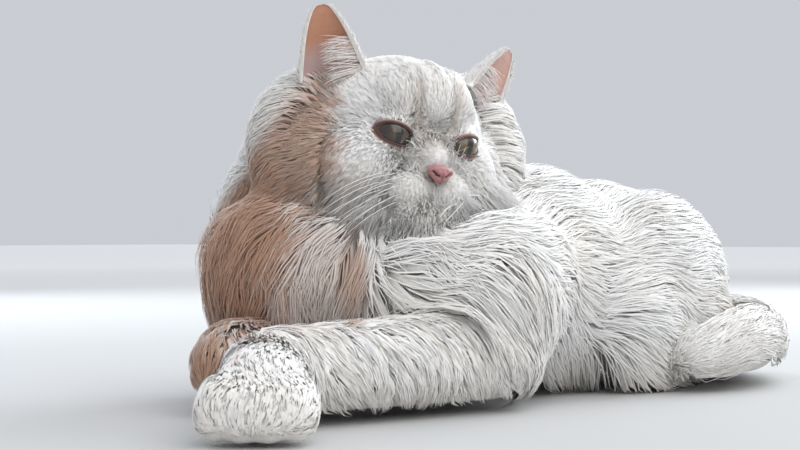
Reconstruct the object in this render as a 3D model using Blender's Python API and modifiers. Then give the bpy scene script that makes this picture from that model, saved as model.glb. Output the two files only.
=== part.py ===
"""A Persian cat, life size, lying on its chest with its head turned to its left.

Metres, +Z up. The cat faces -Y, its left is +X, and it rests on the plane z = 0.
Each body part is a blend of balls, given by its outline with the coat on. The core that is
built lies inside that outline by a share of the coat's depth, and flat tapered locks grow
from it, along the lie of the coat, out to the outline.
"""

import math
from collections import namedtuple

import bpy
import bmesh
import numpy as np
from mathutils import Euler, Matrix, Vector
from mathutils.bvhtree import BVHTree
from mathutils.kdtree import KDTree

MM = 0.001
GAP = 0.3 * MM
CORE_SHARE = 0.5

# Driving dimensions, all with the coat on.
BACK_HEIGHT = 0.139
CHEST_HALF_WIDTH = 0.086
TAIL_RADIUS = 0.029
EYE_RADIUS = 10.5
EYE_PLACE = Vector((31, 21.5, 0))
EAR_HEIGHT = 42
EAR_WIDTH = 36
EAR_DEPTH = 12
EAR_WALL = 2.0

# The head's own frame, in millimetres: x out of the face, y to the cat's left, z up.
HEAD_CENTRE = Vector((-0.007, -0.088, 0.152))
HEAD_YAW = math.radians(64)
HEAD_ROLL = math.radians(7)
HEAD_PITCH = math.radians(2)

# Each ear's foot in the head's frame and its lean out, left and right. The left one is cocked.
EAR_FOOT = {1: Vector((-4, 51, 30)), -1: Vector((-4, -46, 30))}
EAR_LEAN = {1: 33, -1: 19}
EAR_SWING = 28

# Joints of the skeleton that the limbs follow.
SHOULDER = Vector((0.054, -0.078, 0.054))
ELBOW_LEFT = Vector((0.054, -0.088, 0.029))
WRIST_LEFT = Vector((0.008, -0.222, 0.027))
TOES_LEFT = Vector((0.048, -0.277, 0.015))
ELBOW_RIGHT = Vector((-0.060, -0.080, 0.028))
WRIST_RIGHT = Vector((-0.044, -0.190, 0.026))
TOES_RIGHT = Vector((-0.010, -0.180, 0.019))
HOCK = Vector((0.082, 0.140, 0.018))
HIND_TOES = Vector((0.090, 0.046, 0.014))
TAIL_PATH = [
    Vector((0.008, 0.178, 0.048)),
    Vector((0.035, 0.205, 0.035)),
    Vector((0.078, 0.195, 0.029)),
    Vector((0.104, 0.155, 0.028)),
    Vector((0.114, 0.112, 0.027)),
    Vector((0.105, 0.074, 0.022)),
]
TAIL_CUTS = (0.34, 0.68)
TAIL_GAP = 1.2 * GAP

# Where the broad side of the ruff faces, from straight ahead.
RUFF_TURN = (0, 0, 36)

# Locks of the coat: how far apart they root, their length and their width.
LOCKS = {
    "head": (0.022, 0.042, 0.020),
    "neck": (0.032, 0.068, 0.029),
    "chest": (0.027, 0.060, 0.025),
    "upperarm": (0.031, 0.050, 0.026),
    "forearm": (0.033, 0.048, 0.025),
    "hindleg": (0.037, 0.064, 0.031),
    "torso": (0.038, 0.074, 0.034),
    "tail": (0.031, 0.052, 0.026),
}
LOCK_TAPER = (0.75, 1.0, 0.66)
LOCK_RISE = (0.0, 0.62, 0.88, 1.0)
LOCK_THICKNESS = 0.15
TIP_MARGIN = 4
ROOT_DEPTH = 5 * MM
TRIES_PER_ROOT = 30
BURIED = 3 * MM
CURL = math.radians(20)
SHARPEST_TURN = math.radians(60)
SEED = 7

# Two corners nearer than this count as one in an exact solid.
CLOSEST = 0.0005 * MM
HAIR = 0.1 * MM
MOST_SHIFTS = 12

Piece = namedtuple("Piece", "place radii coat segments")
Lock = namedtuple("Lock", "shape room")

workshop = bpy.data.collections.new("workshop")


def head_frame():
    """The matrix that carries the head's own coordinates to the cat's."""
    forward = Vector((math.sin(HEAD_YAW), -math.cos(HEAD_YAW), 0))
    up = Vector((0, 0, 1))
    left = up.cross(forward)
    rolled_left = left * math.cos(HEAD_ROLL) - up * math.sin(HEAD_ROLL)
    rolled_up = up * math.cos(HEAD_ROLL) + left * math.sin(HEAD_ROLL)
    nosed = forward * math.cos(HEAD_PITCH) - rolled_up * math.sin(HEAD_PITCH)
    crowned = rolled_up * math.cos(HEAD_PITCH) + forward * math.sin(HEAD_PITCH)
    axes = Matrix((nosed, rolled_left, crowned)).transposed()
    return Matrix.Translation(HEAD_CENTRE) @ axes.to_4x4() @ Matrix.Scale(MM, 4)


HEAD = head_frame()


def ball(centre, radii, coat=0.0, turn=(0, 0, 0), segments=32):
    """An ellipsoid of the outline, with the depth of the coat on it."""
    angles = Euler([math.radians(a) for a in turn])
    return Piece(Matrix.LocRotScale(Vector(centre), angles, None), radii, coat, segments)


def head_ball(centre, radii, coat=0.0, turn=(0, 0, 0), segments=32):
    """A ball given in millimetres in the head's own frame."""
    made = ball(centre, radii, coat, turn, segments)
    return made._replace(place=HEAD @ made.place)


def both(centre, radii, coat=0.0, turn=(0, 0, 0), segments=32):
    """The same ball on both sides of the face."""
    x, y, z = centre
    tilt, nod, swing = turn
    return [
        head_ball((x, y, z), radii, coat, turn, segments),
        head_ball((x, -y, z), radii, coat, (-tilt, nod, -swing), segments),
    ]


def smooth_path(points, steps=6):
    """Points along a curve through the given ones."""
    padded = [2 * points[0] - points[1], *points, 2 * points[-1] - points[-2]]
    found = []
    for a, b, c, d in zip(padded, padded[1:], padded[2:], padded[3:]):
        for k in range(steps):
            t = k / steps
            bend = (2 * a - 5 * b + 4 * c - d) * t**2 + (3 * b - a - 3 * c + d) * t**3
            found.append(b + 0.5 * ((c - a) * t + bend))
    return found + [points[-1]]


def limb(points, radii, coat=0.0, steps=6):
    """Balls set close along a curve, so that they blend into a tapering limb."""
    path = smooth_path(points, steps)
    at = np.linspace(0, len(points) - 1, len(path))
    widths = np.interp(at, range(len(radii)), radii)
    return [ball(p, (r, r, r), coat) for p, r in zip(path, widths)]


def torso():
    rise = BACK_HEIGHT / 2
    tall = rise + 2 * MM
    wide = CHEST_HALF_WIDTH
    return [
        ball((0.000, -0.060, rise - 0.002), (wide, 0.085, tall - 0.002), 0.026),
        ball((0.000, 0.030, rise), (wide - 0.006, 0.100, tall), 0.024),
        ball((0.003, 0.110, rise - 0.002), (wide - 0.010, 0.085, tall - 0.002), 0.024),
    ]


def neck():
    return [
        ball((-0.056, -0.068, 0.105), (0.092, 0.052, 0.068), 0.034, RUFF_TURN),
        ball((-0.020, -0.045, 0.120), (0.060, 0.060, 0.040), 0.024, RUFF_TURN),
        head_ball((-26, -42, -6), (34, 44, 48), 26),
        head_ball((-25, 45, -6), (36, 56, 60), 24),
    ]


def chest():
    return [
        ball((-0.040, -0.124, 0.082), (0.072, 0.055, 0.055), 0.034, RUFF_TURN),
        ball((0.007, -0.088, 0.062), (0.050, 0.045, 0.044), 0.024, RUFF_TURN),
    ]


def head():
    pieces = [
        head_ball((-8, 0, 8), (46, 50, 43)),
        head_ball((17, 0, 23), (27, 33, 23)),
        head_ball((12, 0, -36), (30, 34, 18)),
        head_ball((38, 0, -10), (13, 10, 13)),
        head_ball((36, 0, -45), (14, 14, 9)),
    ]
    pieces += both((14, 30, -16), (26, 25, 24))
    pieces += both((27, 13, 15), (13, 12, 9))
    pieces += both((38, 11.5, -28), (14, 14.5, 12))
    pieces += both((-8, 42, -14), (28, 30, 32), 18)
    pieces += both(EYE_PLACE + Vector((-1, 1, 0)), (13, 14, 13.5))
    return pieces


def nose():
    return [head_ball((51.5, 0, -18.5), (4.5, 8, 4.5)), head_ball((51, 0, -23), (4, 4, 4))]


def upperarm(side):
    return [ball((SHOULDER.x * side, SHOULDER.y, SHOULDER.z), (0.034, 0.044, 0.046), 0.018)]


def forearm(elbow, wrist):
    return limb([elbow, elbow.lerp(wrist, 0.5), wrist], [0.029, 0.028, 0.026], 0.010)


def forepaw_left():
    ahead = (TOES_LEFT - WRIST_LEFT).normalized()
    across = Vector((0, 0, 1)).cross(ahead).normalized()
    pieces = limb([WRIST_LEFT.lerp(TOES_LEFT, t) for t in (0.15, 0.55)], [0.022, 0.024])
    for spread in (-1.5, -0.5, 0.5, 1.5):
        reach = (4 - 3 * abs(spread)) * MM
        toe = TOES_LEFT + across * spread * 12.5 * MM + ahead * reach
        pieces.append(ball(toe, (0.0115, 0.0115, 0.0155)))
        pieces.append(ball(toe - ahead * 0.012, (0.0115, 0.0115, 0.017)))
    return pieces


def forepaw_right():
    return limb([WRIST_RIGHT.lerp(TOES_RIGHT, 0.2), TOES_RIGHT], [0.021, 0.021])


def hindleg(side):
    return [
        ball((side * 0.060, 0.104, 0.061), (0.044, 0.074, 0.067), 0.022),
        ball((side * 0.072, 0.052, 0.042), (0.030, 0.040, 0.045), 0.020),
    ]


def hindfoot(side):
    mirror = Matrix.Diagonal((side, 1, 1))
    hock, toes = mirror @ HOCK, mirror @ HIND_TOES
    pieces = limb([hock, toes], [0.020, 0.018])
    for spread in (-1, 0, 1):
        toe = toes + Vector((spread * 0.010, -0.010, 0))
        pieces.append(ball(toe, (0.009, 0.013, 0.0145)))
    return pieces


def tail():
    path = smooth_path(TAIL_PATH, 5)
    pieces = []
    for k, point in enumerate(path):
        radius = TAIL_RADIUS * (1 - 0.25 * (k / (len(path) - 1)) ** 4)
        pieces.append(ball(point, (radius, radius, radius), 0.014))
    return pieces


def mesh_of(bm):
    mesh = bpy.data.meshes.new("mesh")
    bm.to_mesh(mesh)
    bm.free()
    return mesh


def link(mesh, name, collection):
    obj = bpy.data.objects.new(name, mesh)
    collection.objects.link(obj)
    return obj


def evaluated_mesh(obj):
    graph = bpy.context.evaluated_depsgraph_get()
    return bpy.data.meshes.new_from_object(obj.evaluated_get(graph), depsgraph=graph)


def shaped(piece, share=0.0):
    """The mesh of one piece, pulled in by a share of its coat."""
    pull = piece.coat * share
    radii = [max(r - pull, 0.3 * r) for r in piece.radii]
    bm = bmesh.new()
    rows = piece.segments * 5 // 8
    bmesh.ops.create_uvsphere(bm, u_segments=piece.segments, v_segments=rows, radius=1)
    bm.transform(piece.place @ Matrix.Diagonal((*radii, 1)))
    return mesh_of(bm)


def joined(meshes):
    bm = bmesh.new()
    for mesh in meshes:
        bm.from_mesh(mesh)
    return mesh_of(bm)


def blend(pieces, share, triangles, soften=8, fine=2.5 * MM, hidden=None):
    """One closed form: the pieces fused, softened and laid out in about so many triangles.

    What is hidden inside other nodes is thinned out first.
    """
    obj = link(joined([shaped(piece, share) for piece in pieces]), "blend", workshop)
    fuse = obj.modifiers.new("fuse", "REMESH")
    fuse.mode = "VOXEL"
    fuse.voxel_size = fine
    smooth = obj.modifiers.new("soften", "SMOOTH")
    smooth.factor = 0.5
    smooth.iterations = soften
    obj.data = evaluated_mesh(obj)
    obj.modifiers.clear()
    if hidden:
        unseen = [vert.index for vert in obj.data.vertices if hidden(vert.co)]
        obj.vertex_groups.new(name="unseen").add(unseen, 1, "REPLACE")
        coarse = obj.modifiers.new("coarse", "DECIMATE")
        coarse.vertex_group = "unseen"
        coarse.ratio = 1 - 0.97 * len(unseen) / len(obj.data.vertices)
        obj.data = evaluated_mesh(obj)
        obj.modifiers.clear()
    thin = obj.modifiers.new("thin", "DECIMATE")
    thin.ratio = triangles / (2 * len(obj.data.polygons))
    mesh = evaluated_mesh(obj)
    bpy.data.objects.remove(obj)
    return mesh


def tube(path, radius, sides=6):
    """A closed tube of one radius along a path."""
    bm = bmesh.new()
    rings = []
    for k, point in enumerate(path):
        ahead = (path[min(k + 1, len(path) - 1)] - path[max(k - 1, 0)]).normalized()
        turn = ahead.to_track_quat("Z", "Y")
        angles = [2 * math.pi * step / sides for step in range(sides)]
        offsets = [Vector((math.cos(a), math.sin(a), 0)) * radius for a in angles]
        rings.append([bm.verts.new(point + turn @ offset) for offset in offsets])
    return closed_loft(bm, rings)


def lock(path, ups, width, margin=0.0):
    """A flat, tapered lock along a path: two thin edges and a low ridge that end in a point.

    A margin moves its three sides out, for the room that other nodes leave it.
    """
    bm = bmesh.new()
    rings = []
    for k, taper in enumerate(LOCK_TAPER):
        half = width * taper / 2
        height = 2 * half * LOCK_THICKNESS
        inner = half * height / (half + math.hypot(half, height))
        swell = 1 + margin / inner
        ahead = (path[k + 1] - path[max(k - 1, 0)]).normalized()
        across = ahead.cross(ups[k]).normalized()
        section = [(-half, 0), (half, 0), (0, height)]
        swollen = [across * x * swell + ups[k] * (inner + (y - inner) * swell) for x, y in section]
        behind = ahead * margin if k == 0 else Vector()
        rings.append([bm.verts.new(path[k] - behind + offset) for offset in swollen])
    beyond = (path[-1] - path[-2]).normalized() * margin * TIP_MARGIN
    return closed_loft(bm, rings, bm.verts.new(path[-1] + beyond))


def closed_loft(bm, rings, tip=None):
    """Triangles from ring to ring, with the ends closed by a cap or a tip."""
    for low, high in zip(rings, rings[1:]):
        for k in range(len(low)):
            turn = (k + 1) % len(low)
            bm.faces.new((low[k], low[turn], high[turn]))
            bm.faces.new((low[k], high[turn], high[k]))
    bm.faces.new(rings[0][::-1])
    last = rings[-1]
    if tip:
        for k in range(len(last)):
            bm.faces.new((last[k], last[(k + 1) % len(last)], tip))
    else:
        bm.faces.new(last)
    bmesh.ops.recalc_face_normals(bm, faces=bm.faces)
    return mesh_of(bm)


def boolean(mesh, others, operation):
    """The mesh joined with, or cut by, all of the others at once."""
    if not others:
        return mesh
    obj = link(mesh, "solid", workshop)
    operands = bpy.data.collections.new("operands")
    bpy.context.scene.collection.children.link(operands)
    for other in others:
        link(other, "operand", operands)
    tool = obj.modifiers.new("boolean", "BOOLEAN")
    tool.operation = operation
    tool.solver = "MANIFOLD"
    tool.operand_type = "COLLECTION"
    tool.collection = operands
    made = evaluated_mesh(obj)
    for used in [obj, *operands.objects]:
        bpy.data.objects.remove(used)
    bpy.data.collections.remove(operands)
    return made


def keep_largest(mesh):
    """The mesh in triangles, without any closed surface but its largest."""
    bm = bmesh.new()
    bm.from_mesh(mesh)
    bmesh.ops.triangulate(bm, faces=bm.faces)
    seen, islands = set(), []
    for start in bm.verts:
        if start in seen:
            continue
        island, stack = [], [start]
        seen.add(start)
        while stack:
            vert = stack.pop()
            island.append(vert)
            fresh = [v for v in (e.other_vert(vert) for e in vert.link_edges) if v not in seen]
            seen.update(fresh)
            stack.extend(fresh)
        islands.append(island)
    for island in sorted(islands, key=len)[:-1]:
        bmesh.ops.delete(bm, geom=island, context="VERTS")
    return mesh_of(bm)


def cut_away(mesh, point, normal):
    """Takes off what lies beyond a plane, and closes the cut."""
    bm = bmesh.new()
    bm.from_mesh(mesh)
    everything = bm.verts[:] + bm.edges[:] + bm.faces[:]
    made = bmesh.ops.bisect_plane(bm, geom=everything, plane_co=point, plane_no=normal, clear_outer=True)
    rim = [item for item in made["geom_cut"] if isinstance(item, bmesh.types.BMEdge)]
    cap = bmesh.ops.contextual_create(bm, geom=rim)["faces"]
    bmesh.ops.triangulate(bm, faces=cap)
    return mesh_of(bm)


def grown(mesh):
    """A copy whose surface stands out by the gap that parts keep."""
    bm = bmesh.new()
    bm.from_mesh(mesh)
    bm.normal_update()
    for vert in bm.verts:
        vert.co += vert.normal * GAP * min(vert.calc_shell_factor(), 2)
    return mesh_of(bm)


def floor_box():
    bm = bmesh.new()
    bmesh.ops.create_cube(bm, size=2)
    bm.transform(Matrix.Translation((0, 0, -1)))
    return mesh_of(bm)


def ear(side):
    """A thin cup that opens forward and out: rings that shrink from the base to the tip."""
    rings, arc = 8, 7
    opening = math.radians(105)
    bm = bmesh.new()
    loops = []
    for k in range(rings):
        rise = 1 - (1 - k / (rings - 1)) ** 1.4
        width = EAR_WIDTH / 2 * (1 - rise) ** 0.5 + 1.6
        depth = EAR_DEPTH * (1 - rise) ** 0.8 + 1.2
        wall = min(EAR_WALL, 0.6 * depth)
        outer, inner = [], []
        for step in range(arc + 1):
            angle = opening * (2 * step / arc - 1)
            x, y = -math.cos(angle), math.sin(angle)
            outer.append(Vector((x * depth, y * width, rise * EAR_HEIGHT)))
            inner.append(Vector((x * (depth - wall), y * (width - wall * 0.7), rise * EAR_HEIGHT)))
        swept_back = Vector((-5 * rise, 0, 0))
        loops.append([bm.verts.new(point + swept_back) for point in outer + inner[::-1]])
    for low, high in zip(loops, loops[1:]):
        for k in range(len(low)):
            turn = (k + 1) % len(low)
            bm.faces.new((low[k], low[turn], high[turn], high[k]))
    for ring in (loops[0][::-1], loops[-1]):
        for step in range(arc):
            bm.faces.new((ring[step], ring[step + 1], ring[-2 - step], ring[-1 - step]))
    bmesh.ops.recalc_face_normals(bm, faces=bm.faces)
    lean = Matrix.Rotation(math.radians(-EAR_LEAN[side] * side), 4, "X")
    swing = Matrix.Rotation(math.radians(EAR_SWING * side), 4, "Z")
    bm.transform(HEAD @ Matrix.Translation(EAR_FOOT[side]) @ lean @ swing)
    return mesh_of(bm)


def lid_openings():
    """The almond gap between the lids, its outer corner the higher."""
    middle = EYE_PLACE + Vector((9, 1.5, 0.5))
    return both(middle, (9, 11.5, 6), turn=(12, 0, 14), segments=16)


def mouth_line():
    """The groove of the mouth, from one corner up to the nose, and its mirror."""
    corner, under_pad, middle, top = (36, 21, -42), (47, 11, -41), (52.5, 2, -37), (54, 0, -28)
    path = smooth_path([Vector(p) for p in (corner, under_pad, middle, top)], 3)
    sides = [[HEAD @ Vector((p.x, side * p.y, p.z)) for p in path] for side in (1, -1)]
    return [tube(route, 1.2 * MM) for route in sides]


def behind_face(point):
    place = HEAD.inverted() @ point
    return place.x < -2 and place.z < 34 and abs(place.y) < 50


def carved_head(share):
    face = blend(head(), share, 1280, soften=4, fine=1.5 * MM, hidden=behind_face)
    openings = [shaped(piece) for piece in lid_openings()]
    return boolean(face, openings + mouth_line(), "DIFFERENCE")


def carved_nose():
    solid = blend(nose(), 0, 130, soften=2, fine=0.6 * MM)
    nostrils = both((55.5, 4.6, -20.5), (4, 1.9, 1.5), turn=(-30, 0, 0), segments=8)
    return boolean(solid, [shaped(piece) for piece in nostrils], "DIFFERENCE")


def tail_lengths(share):
    """The tail, parted by thin cuts square to its path."""
    whole = blend(tail(), share, 260)
    path = smooth_path(TAIL_PATH, 5)
    cuts = []
    for part in TAIL_CUTS:
        k = round(part * (len(path) - 1))
        cuts.append((path[k], (path[k + 1] - path[k - 1]).normalized()))
    (first, ahead), (second, beyond) = cuts
    root = cut_away(whole, first - ahead * TAIL_GAP / 2, ahead)
    rest = cut_away(whole, first + ahead * TAIL_GAP / 2, -ahead)
    middle = cut_away(rest, second - beyond * TAIL_GAP / 2, beyond)
    tip = cut_away(rest, second + beyond * TAIL_GAP / 2, -beyond)
    return {"tail_root": root, "tail_middle": middle, "tail_tip": tip}


def cores(share):
    """Every node's core. Where two meet, the earlier one keeps its shape and cuts the later."""
    x, y, z = EYE_PLACE
    return {
        "eye_left": shaped(head_ball((x, y, z), [EYE_RADIUS] * 3, segments=14)),
        "eye_right": shaped(head_ball((x, -y, z), [EYE_RADIUS] * 3, segments=14)),
        "ear_left": ear(1),
        "ear_right": ear(-1),
        "nose": carved_nose(),
        "head": carved_head(share),
        "torso": blend(torso(), share, 360),
        "chest": blend(chest(), share, 260),
        "neck": blend(neck(), share, 340),
        "forepaw_left": blend(forepaw_left(), share, 460, soften=4, fine=1.5 * MM),
        "forepaw_right": blend(forepaw_right(), share, 100, soften=4),
        "forearm_left": blend(forearm(ELBOW_LEFT, WRIST_LEFT), share, 180),
        "forearm_right": blend(forearm(ELBOW_RIGHT, WRIST_RIGHT), share, 130),
        "upperarm_left": blend(upperarm(1), share, 110),
        "upperarm_right": blend(upperarm(-1), share, 110),
        "hindfoot_left": blend(hindfoot(1), share, 170, soften=4),
        "hindfoot_right": blend(hindfoot(-1), share, 170, soften=4),
        "hindleg_left": blend(hindleg(1), share, 160),
        "hindleg_right": blend(hindleg(-1), share, 160),
        **tail_lengths(share),
    }


def outline():
    """Every piece with its coat on, in one form."""
    pieces = torso() + neck() + chest() + head() + forepaw_left() + forepaw_right() + tail()
    pieces += forearm(ELBOW_LEFT, WRIST_LEFT) + forearm(ELBOW_RIGHT, WRIST_RIGHT)
    for side in (1, -1):
        pieces += upperarm(side) + hindleg(side) + hindfoot(side)
    return pieces


def away_from(centre, point):
    return (point - centre).normalized()


def lie_on_head(point):
    return away_from(HEAD @ Vector((60, 0, -10)), point) + Vector((0, 0, -0.3))


def lie_on_neck(point):
    """Out from the face all round, and down."""
    return away_from(HEAD @ Vector((70, 0, 10)), point) + Vector((0, 0.1, -0.8))


def lie_on_body(point):
    return Vector((0, 1, -0.45 if point.z < 0.1 else -0.15))


def lie_on_left_arm(point):
    return (WRIST_LEFT - ELBOW_LEFT).normalized() + Vector((0, 0, -0.5))


def lie_on_right_arm(point):
    return (WRIST_RIGHT - ELBOW_RIGHT).normalized() + Vector((0, 0, -0.5))


def lie_on_tail(point):
    path = smooth_path(TAIL_PATH, 5)
    k = min(range(1, len(path) - 1), key=lambda n: (path[n] - point).length)
    return (path[k + 1] - path[k - 1]).normalized() + away_from(path[k], point) * 0.25


# The lie on each node that has locks, those whose locks lie over the rest first.
LIES = {
    "head": lie_on_head,
    "chest": lie_on_neck,
    "neck": lie_on_neck,
    "upperarm_left": lie_on_body,
    "upperarm_right": lie_on_body,
    "forearm_left": lie_on_left_arm,
    "forearm_right": lie_on_right_arm,
    "torso": lie_on_body,
    "hindleg_left": lie_on_body,
    "hindleg_right": lie_on_body,
    "tail_root": lie_on_tail,
    "tail_middle": lie_on_tail,
    "tail_tip": lie_on_tail,
}


def has_long_coat(name, point):
    """Whether locks root here: not on the face or crown, and not underneath."""
    if name == "head":
        place = HEAD.inverted() @ point
        return place.x < 16 and abs(place.y) > 36 and place.z < 26
    return point.z > 0.016


def scattered(mesh, spacing, draw):
    """Points drawn by area from the mesh's surface, many for each square of the spacing."""
    mesh.calc_loop_triangles()
    corners = [[mesh.vertices[k].co for k in tri.vertices] for tri in mesh.loop_triangles]
    areas = np.array([tri.area for tri in mesh.loop_triangles])
    tries = int(TRIES_PER_ROOT * areas.sum() / spacing**2)
    for index in draw.choice(len(areas), tries, p=areas / areas.sum()):
        first, second, third = corners[index]
        u, v = draw.random(2)
        if u + v > 1:
            u, v = 1 - u, 1 - v
        yield first + (second - first) * u + (third - first) * v


def lock_path(root, lie, skin, coat, length, draw):
    """Stations that start under the skin, follow the lie over it and rise to the outline."""
    point, normal = skin.find_nearest(root)[:2]
    curl = draw.uniform(-CURL, CURL)
    reach = length * draw.uniform(0.85, 1.15) / (len(LOCK_RISE) - 1)
    path, ups = [], []
    for k, rise in enumerate(LOCK_RISE):
        outer = coat.ray_cast(point - normal * 0.001, normal, 0.05)[0]
        depth = (outer - point).length if outer else 0.004
        station = point + normal * ((depth + ROOT_DEPTH) * rise - ROOT_DEPTH)
        station.z = max(station.z, 2 * MM)
        path.append(station)
        ups.append(normal)
        heading = lie(point)
        heading -= normal * heading.dot(normal)
        turned = Matrix.Rotation(curl * (rise + 0.2), 3, normal) @ heading.normalized()
        point, normal = skin.find_nearest(point + turned * reach)[:2]
    return path, ups


def runs_straight(path):
    """Whether a path keeps its stride and never turns sharply."""
    steps = [b - a for a, b in zip(path, path[1:])]
    mean = sum(step.length for step in steps) / len(steps)
    even = all(0.4 * mean < step.length < 1.8 * mean for step in steps)
    return even and all(a.angle(b) < SHARPEST_TURN for a, b in zip(steps, steps[1:]))


def folds_over(mesh):
    """Whether any two faces that share no corner cross."""
    tree = tree_of(mesh)
    corners = [set(face.vertices) for face in mesh.polygons]
    return any(not corners[a] & corners[b] for a, b in tree.overlap(tree))


def grow_locks(forms, draw):
    """The locks of every node, those of one node clear of the ends of another's."""
    skin = tree_of(blend(outline(), CORE_SHARE, 20000, soften=12, fine=3 * MM))
    coat = tree_of(blend(outline(), 0, 20000, soften=4, fine=3 * MM))
    grown_locks, ends = {}, []
    for name, lie in LIES.items():
        spacing, length, width = LOCKS[name.split("_")[0]]
        others = points_tree(ends)
        taken = len(ends)
        roots, own = [], []
        for root in scattered(forms[name], spacing, draw):
            buried = skin.find_nearest(root)[3] > BURIED or not has_long_coat(name, root)
            if buried or any((root - other).length < spacing for other in roots):
                continue
            path, ups = lock_path(root, lie, skin, coat, length, draw)
            if taken and min(others.find(place)[2] for place in path[2:]) < width * 0.4:
                continue
            broad = width * draw.uniform(0.9, 1.1)
            made = Lock(lock(path, ups, broad), lock(path, ups, broad, GAP))
            if not runs_straight(path) or folds_over(made.shape) or folds_over(made.room):
                continue
            if is_sound(boolean(forms[name].copy(), [made.shape.copy()], "UNION")):
                roots.append(root)
                own.append(made)
                ends += path[2:]
        grown_locks[name] = own
    return grown_locks


def points_tree(points):
    tree = KDTree(len(points))
    for k, point in enumerate(points):
        tree.insert(point, k)
    tree.balance()
    return tree


def tree_of(mesh):
    bm = bmesh.new()
    bm.from_mesh(mesh)
    tree = BVHTree.FromBMesh(bm)
    bm.free()
    return tree


def is_sound(mesh):
    """Whether two triangles meet at each edge and no two corners all but coincide."""
    corners = points_tree([vert.co for vert in mesh.vertices])
    apart = all(len(corners.find_range(vert.co, CLOSEST)) == 1 for vert in mesh.vertices)
    mesh.calc_loop_triangles()
    ends = np.array([tri.vertices for tri in mesh.loop_triangles])
    sides = np.sort(np.concatenate([ends[:, [0, 1]], ends[:, [1, 2]], ends[:, [2, 0]]]))
    return apart and bool((np.unique(sides, axis=0, return_counts=True)[1] == 2).all())


def node_shape(core, own, cutters, draw):
    """The core with its locks, cut clear of the nodes before it.

    Surfaces that meet almost exactly leave slivers, so then each piece shifts by a hair.
    """
    for attempt in range(MOST_SHIFTS):
        fused = boolean(core.copy(), [piece.shape.copy() for piece in own], "UNION")
        near = [piece.copy() for piece in cutters if boxes_meet(fused, piece)]
        shape = keep_largest(boolean(fused, near, "DIFFERENCE"))
        if is_sound(shape):
            break
        for moved in ([core], *own):
            shift = Matrix.Translation(draw.normal(0, HAIR, 3))
            for mesh in moved:
                mesh.transform(shift)
    return shape


def boxes_meet(mesh, other):
    places = [np.array([vert.co for vert in m.vertices]) for m in (mesh, other)]
    low = np.maximum(places[0].min(axis=0), places[1].min(axis=0))
    high = np.minimum(places[0].max(axis=0), places[1].max(axis=0))
    return bool((low < high).all())


def stand_at_origin(objects):
    """Moves the cat so that the origin is under the middle of its box."""
    places = np.concatenate([[vert.co for vert in obj.data.vertices] for obj in objects])
    low, high = places.min(axis=0), places.max(axis=0)
    middle = (low + high) / 2
    for obj in objects:
        obj.data.transform(Matrix.Translation((-middle[0], -middle[1], -low[2])))


def material(name, colour, roughness):
    made = bpy.data.materials.new(name)
    made.use_nodes = True
    shader = made.node_tree.nodes["Principled BSDF"]
    shader.inputs["Base Color"].default_value = (*colour, 1)
    shader.inputs["Roughness"].default_value = roughness
    return made


def main():
    for obj in list(bpy.data.objects):
        bpy.data.objects.remove(obj)
    scene = bpy.context.scene.collection
    scene.children.link(workshop)
    cat = bpy.data.collections.new("persian_cat")
    scene.children.link(cat)
    looks = {
        "eye": material("amber_eye", (0.10, 0.06, 0.03), 0.1),
        "nose": material("pink_leather", (0.55, 0.28, 0.27), 0.5),
        "ear": material("thin_fur", (0.80, 0.70, 0.64), 0.8),
        "coat": material("white_fur", (0.84, 0.80, 0.76), 0.9),
    }
    forms = cores(CORE_SHARE)
    draw = np.random.default_rng(SEED)
    locks = grow_locks(forms, draw)
    cutters = [floor_box()]
    nodes = []
    for name, core in forms.items():
        own = locks.get(name, [])
        node = link(node_shape(core, own, cutters, draw), name, cat)
        node.data.materials.clear()
        node.data.materials.append(looks.get(name.split("_")[0], looks["coat"]))
        cutters += [grown(core), *(piece.room for piece in own)]
        nodes.append(node)
    stand_at_origin(nodes)
    bpy.data.collections.remove(workshop)


main()
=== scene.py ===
"""The looks of a still, life-size long-haired cat that lies on its chest.

One skin stands for the nodes of flesh, and the coat over it is made of thin closed tufts that
follow the lie of the fur. Eyes, lids, nose, ears and whiskers are pieces of their own.
"""

import math
from collections import namedtuple

import bpy
import bmesh
import numpy as np
from mathutils import Euler, Matrix, Vector
from mathutils.bvhtree import BVHTree
from mathutils.kdtree import KDTree


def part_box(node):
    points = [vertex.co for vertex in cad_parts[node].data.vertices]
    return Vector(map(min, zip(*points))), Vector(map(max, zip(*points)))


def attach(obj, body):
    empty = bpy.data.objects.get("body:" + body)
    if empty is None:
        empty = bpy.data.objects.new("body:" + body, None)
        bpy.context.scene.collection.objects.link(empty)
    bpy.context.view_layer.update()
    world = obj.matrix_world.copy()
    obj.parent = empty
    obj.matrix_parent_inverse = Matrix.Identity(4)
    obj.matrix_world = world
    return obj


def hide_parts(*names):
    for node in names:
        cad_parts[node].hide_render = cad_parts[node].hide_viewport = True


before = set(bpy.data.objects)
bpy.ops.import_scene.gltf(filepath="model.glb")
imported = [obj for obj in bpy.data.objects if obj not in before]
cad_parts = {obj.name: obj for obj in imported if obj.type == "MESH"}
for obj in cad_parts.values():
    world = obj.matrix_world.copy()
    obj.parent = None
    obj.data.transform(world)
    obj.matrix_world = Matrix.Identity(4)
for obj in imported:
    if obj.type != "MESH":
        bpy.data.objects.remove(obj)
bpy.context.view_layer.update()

MM = 0.001

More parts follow.
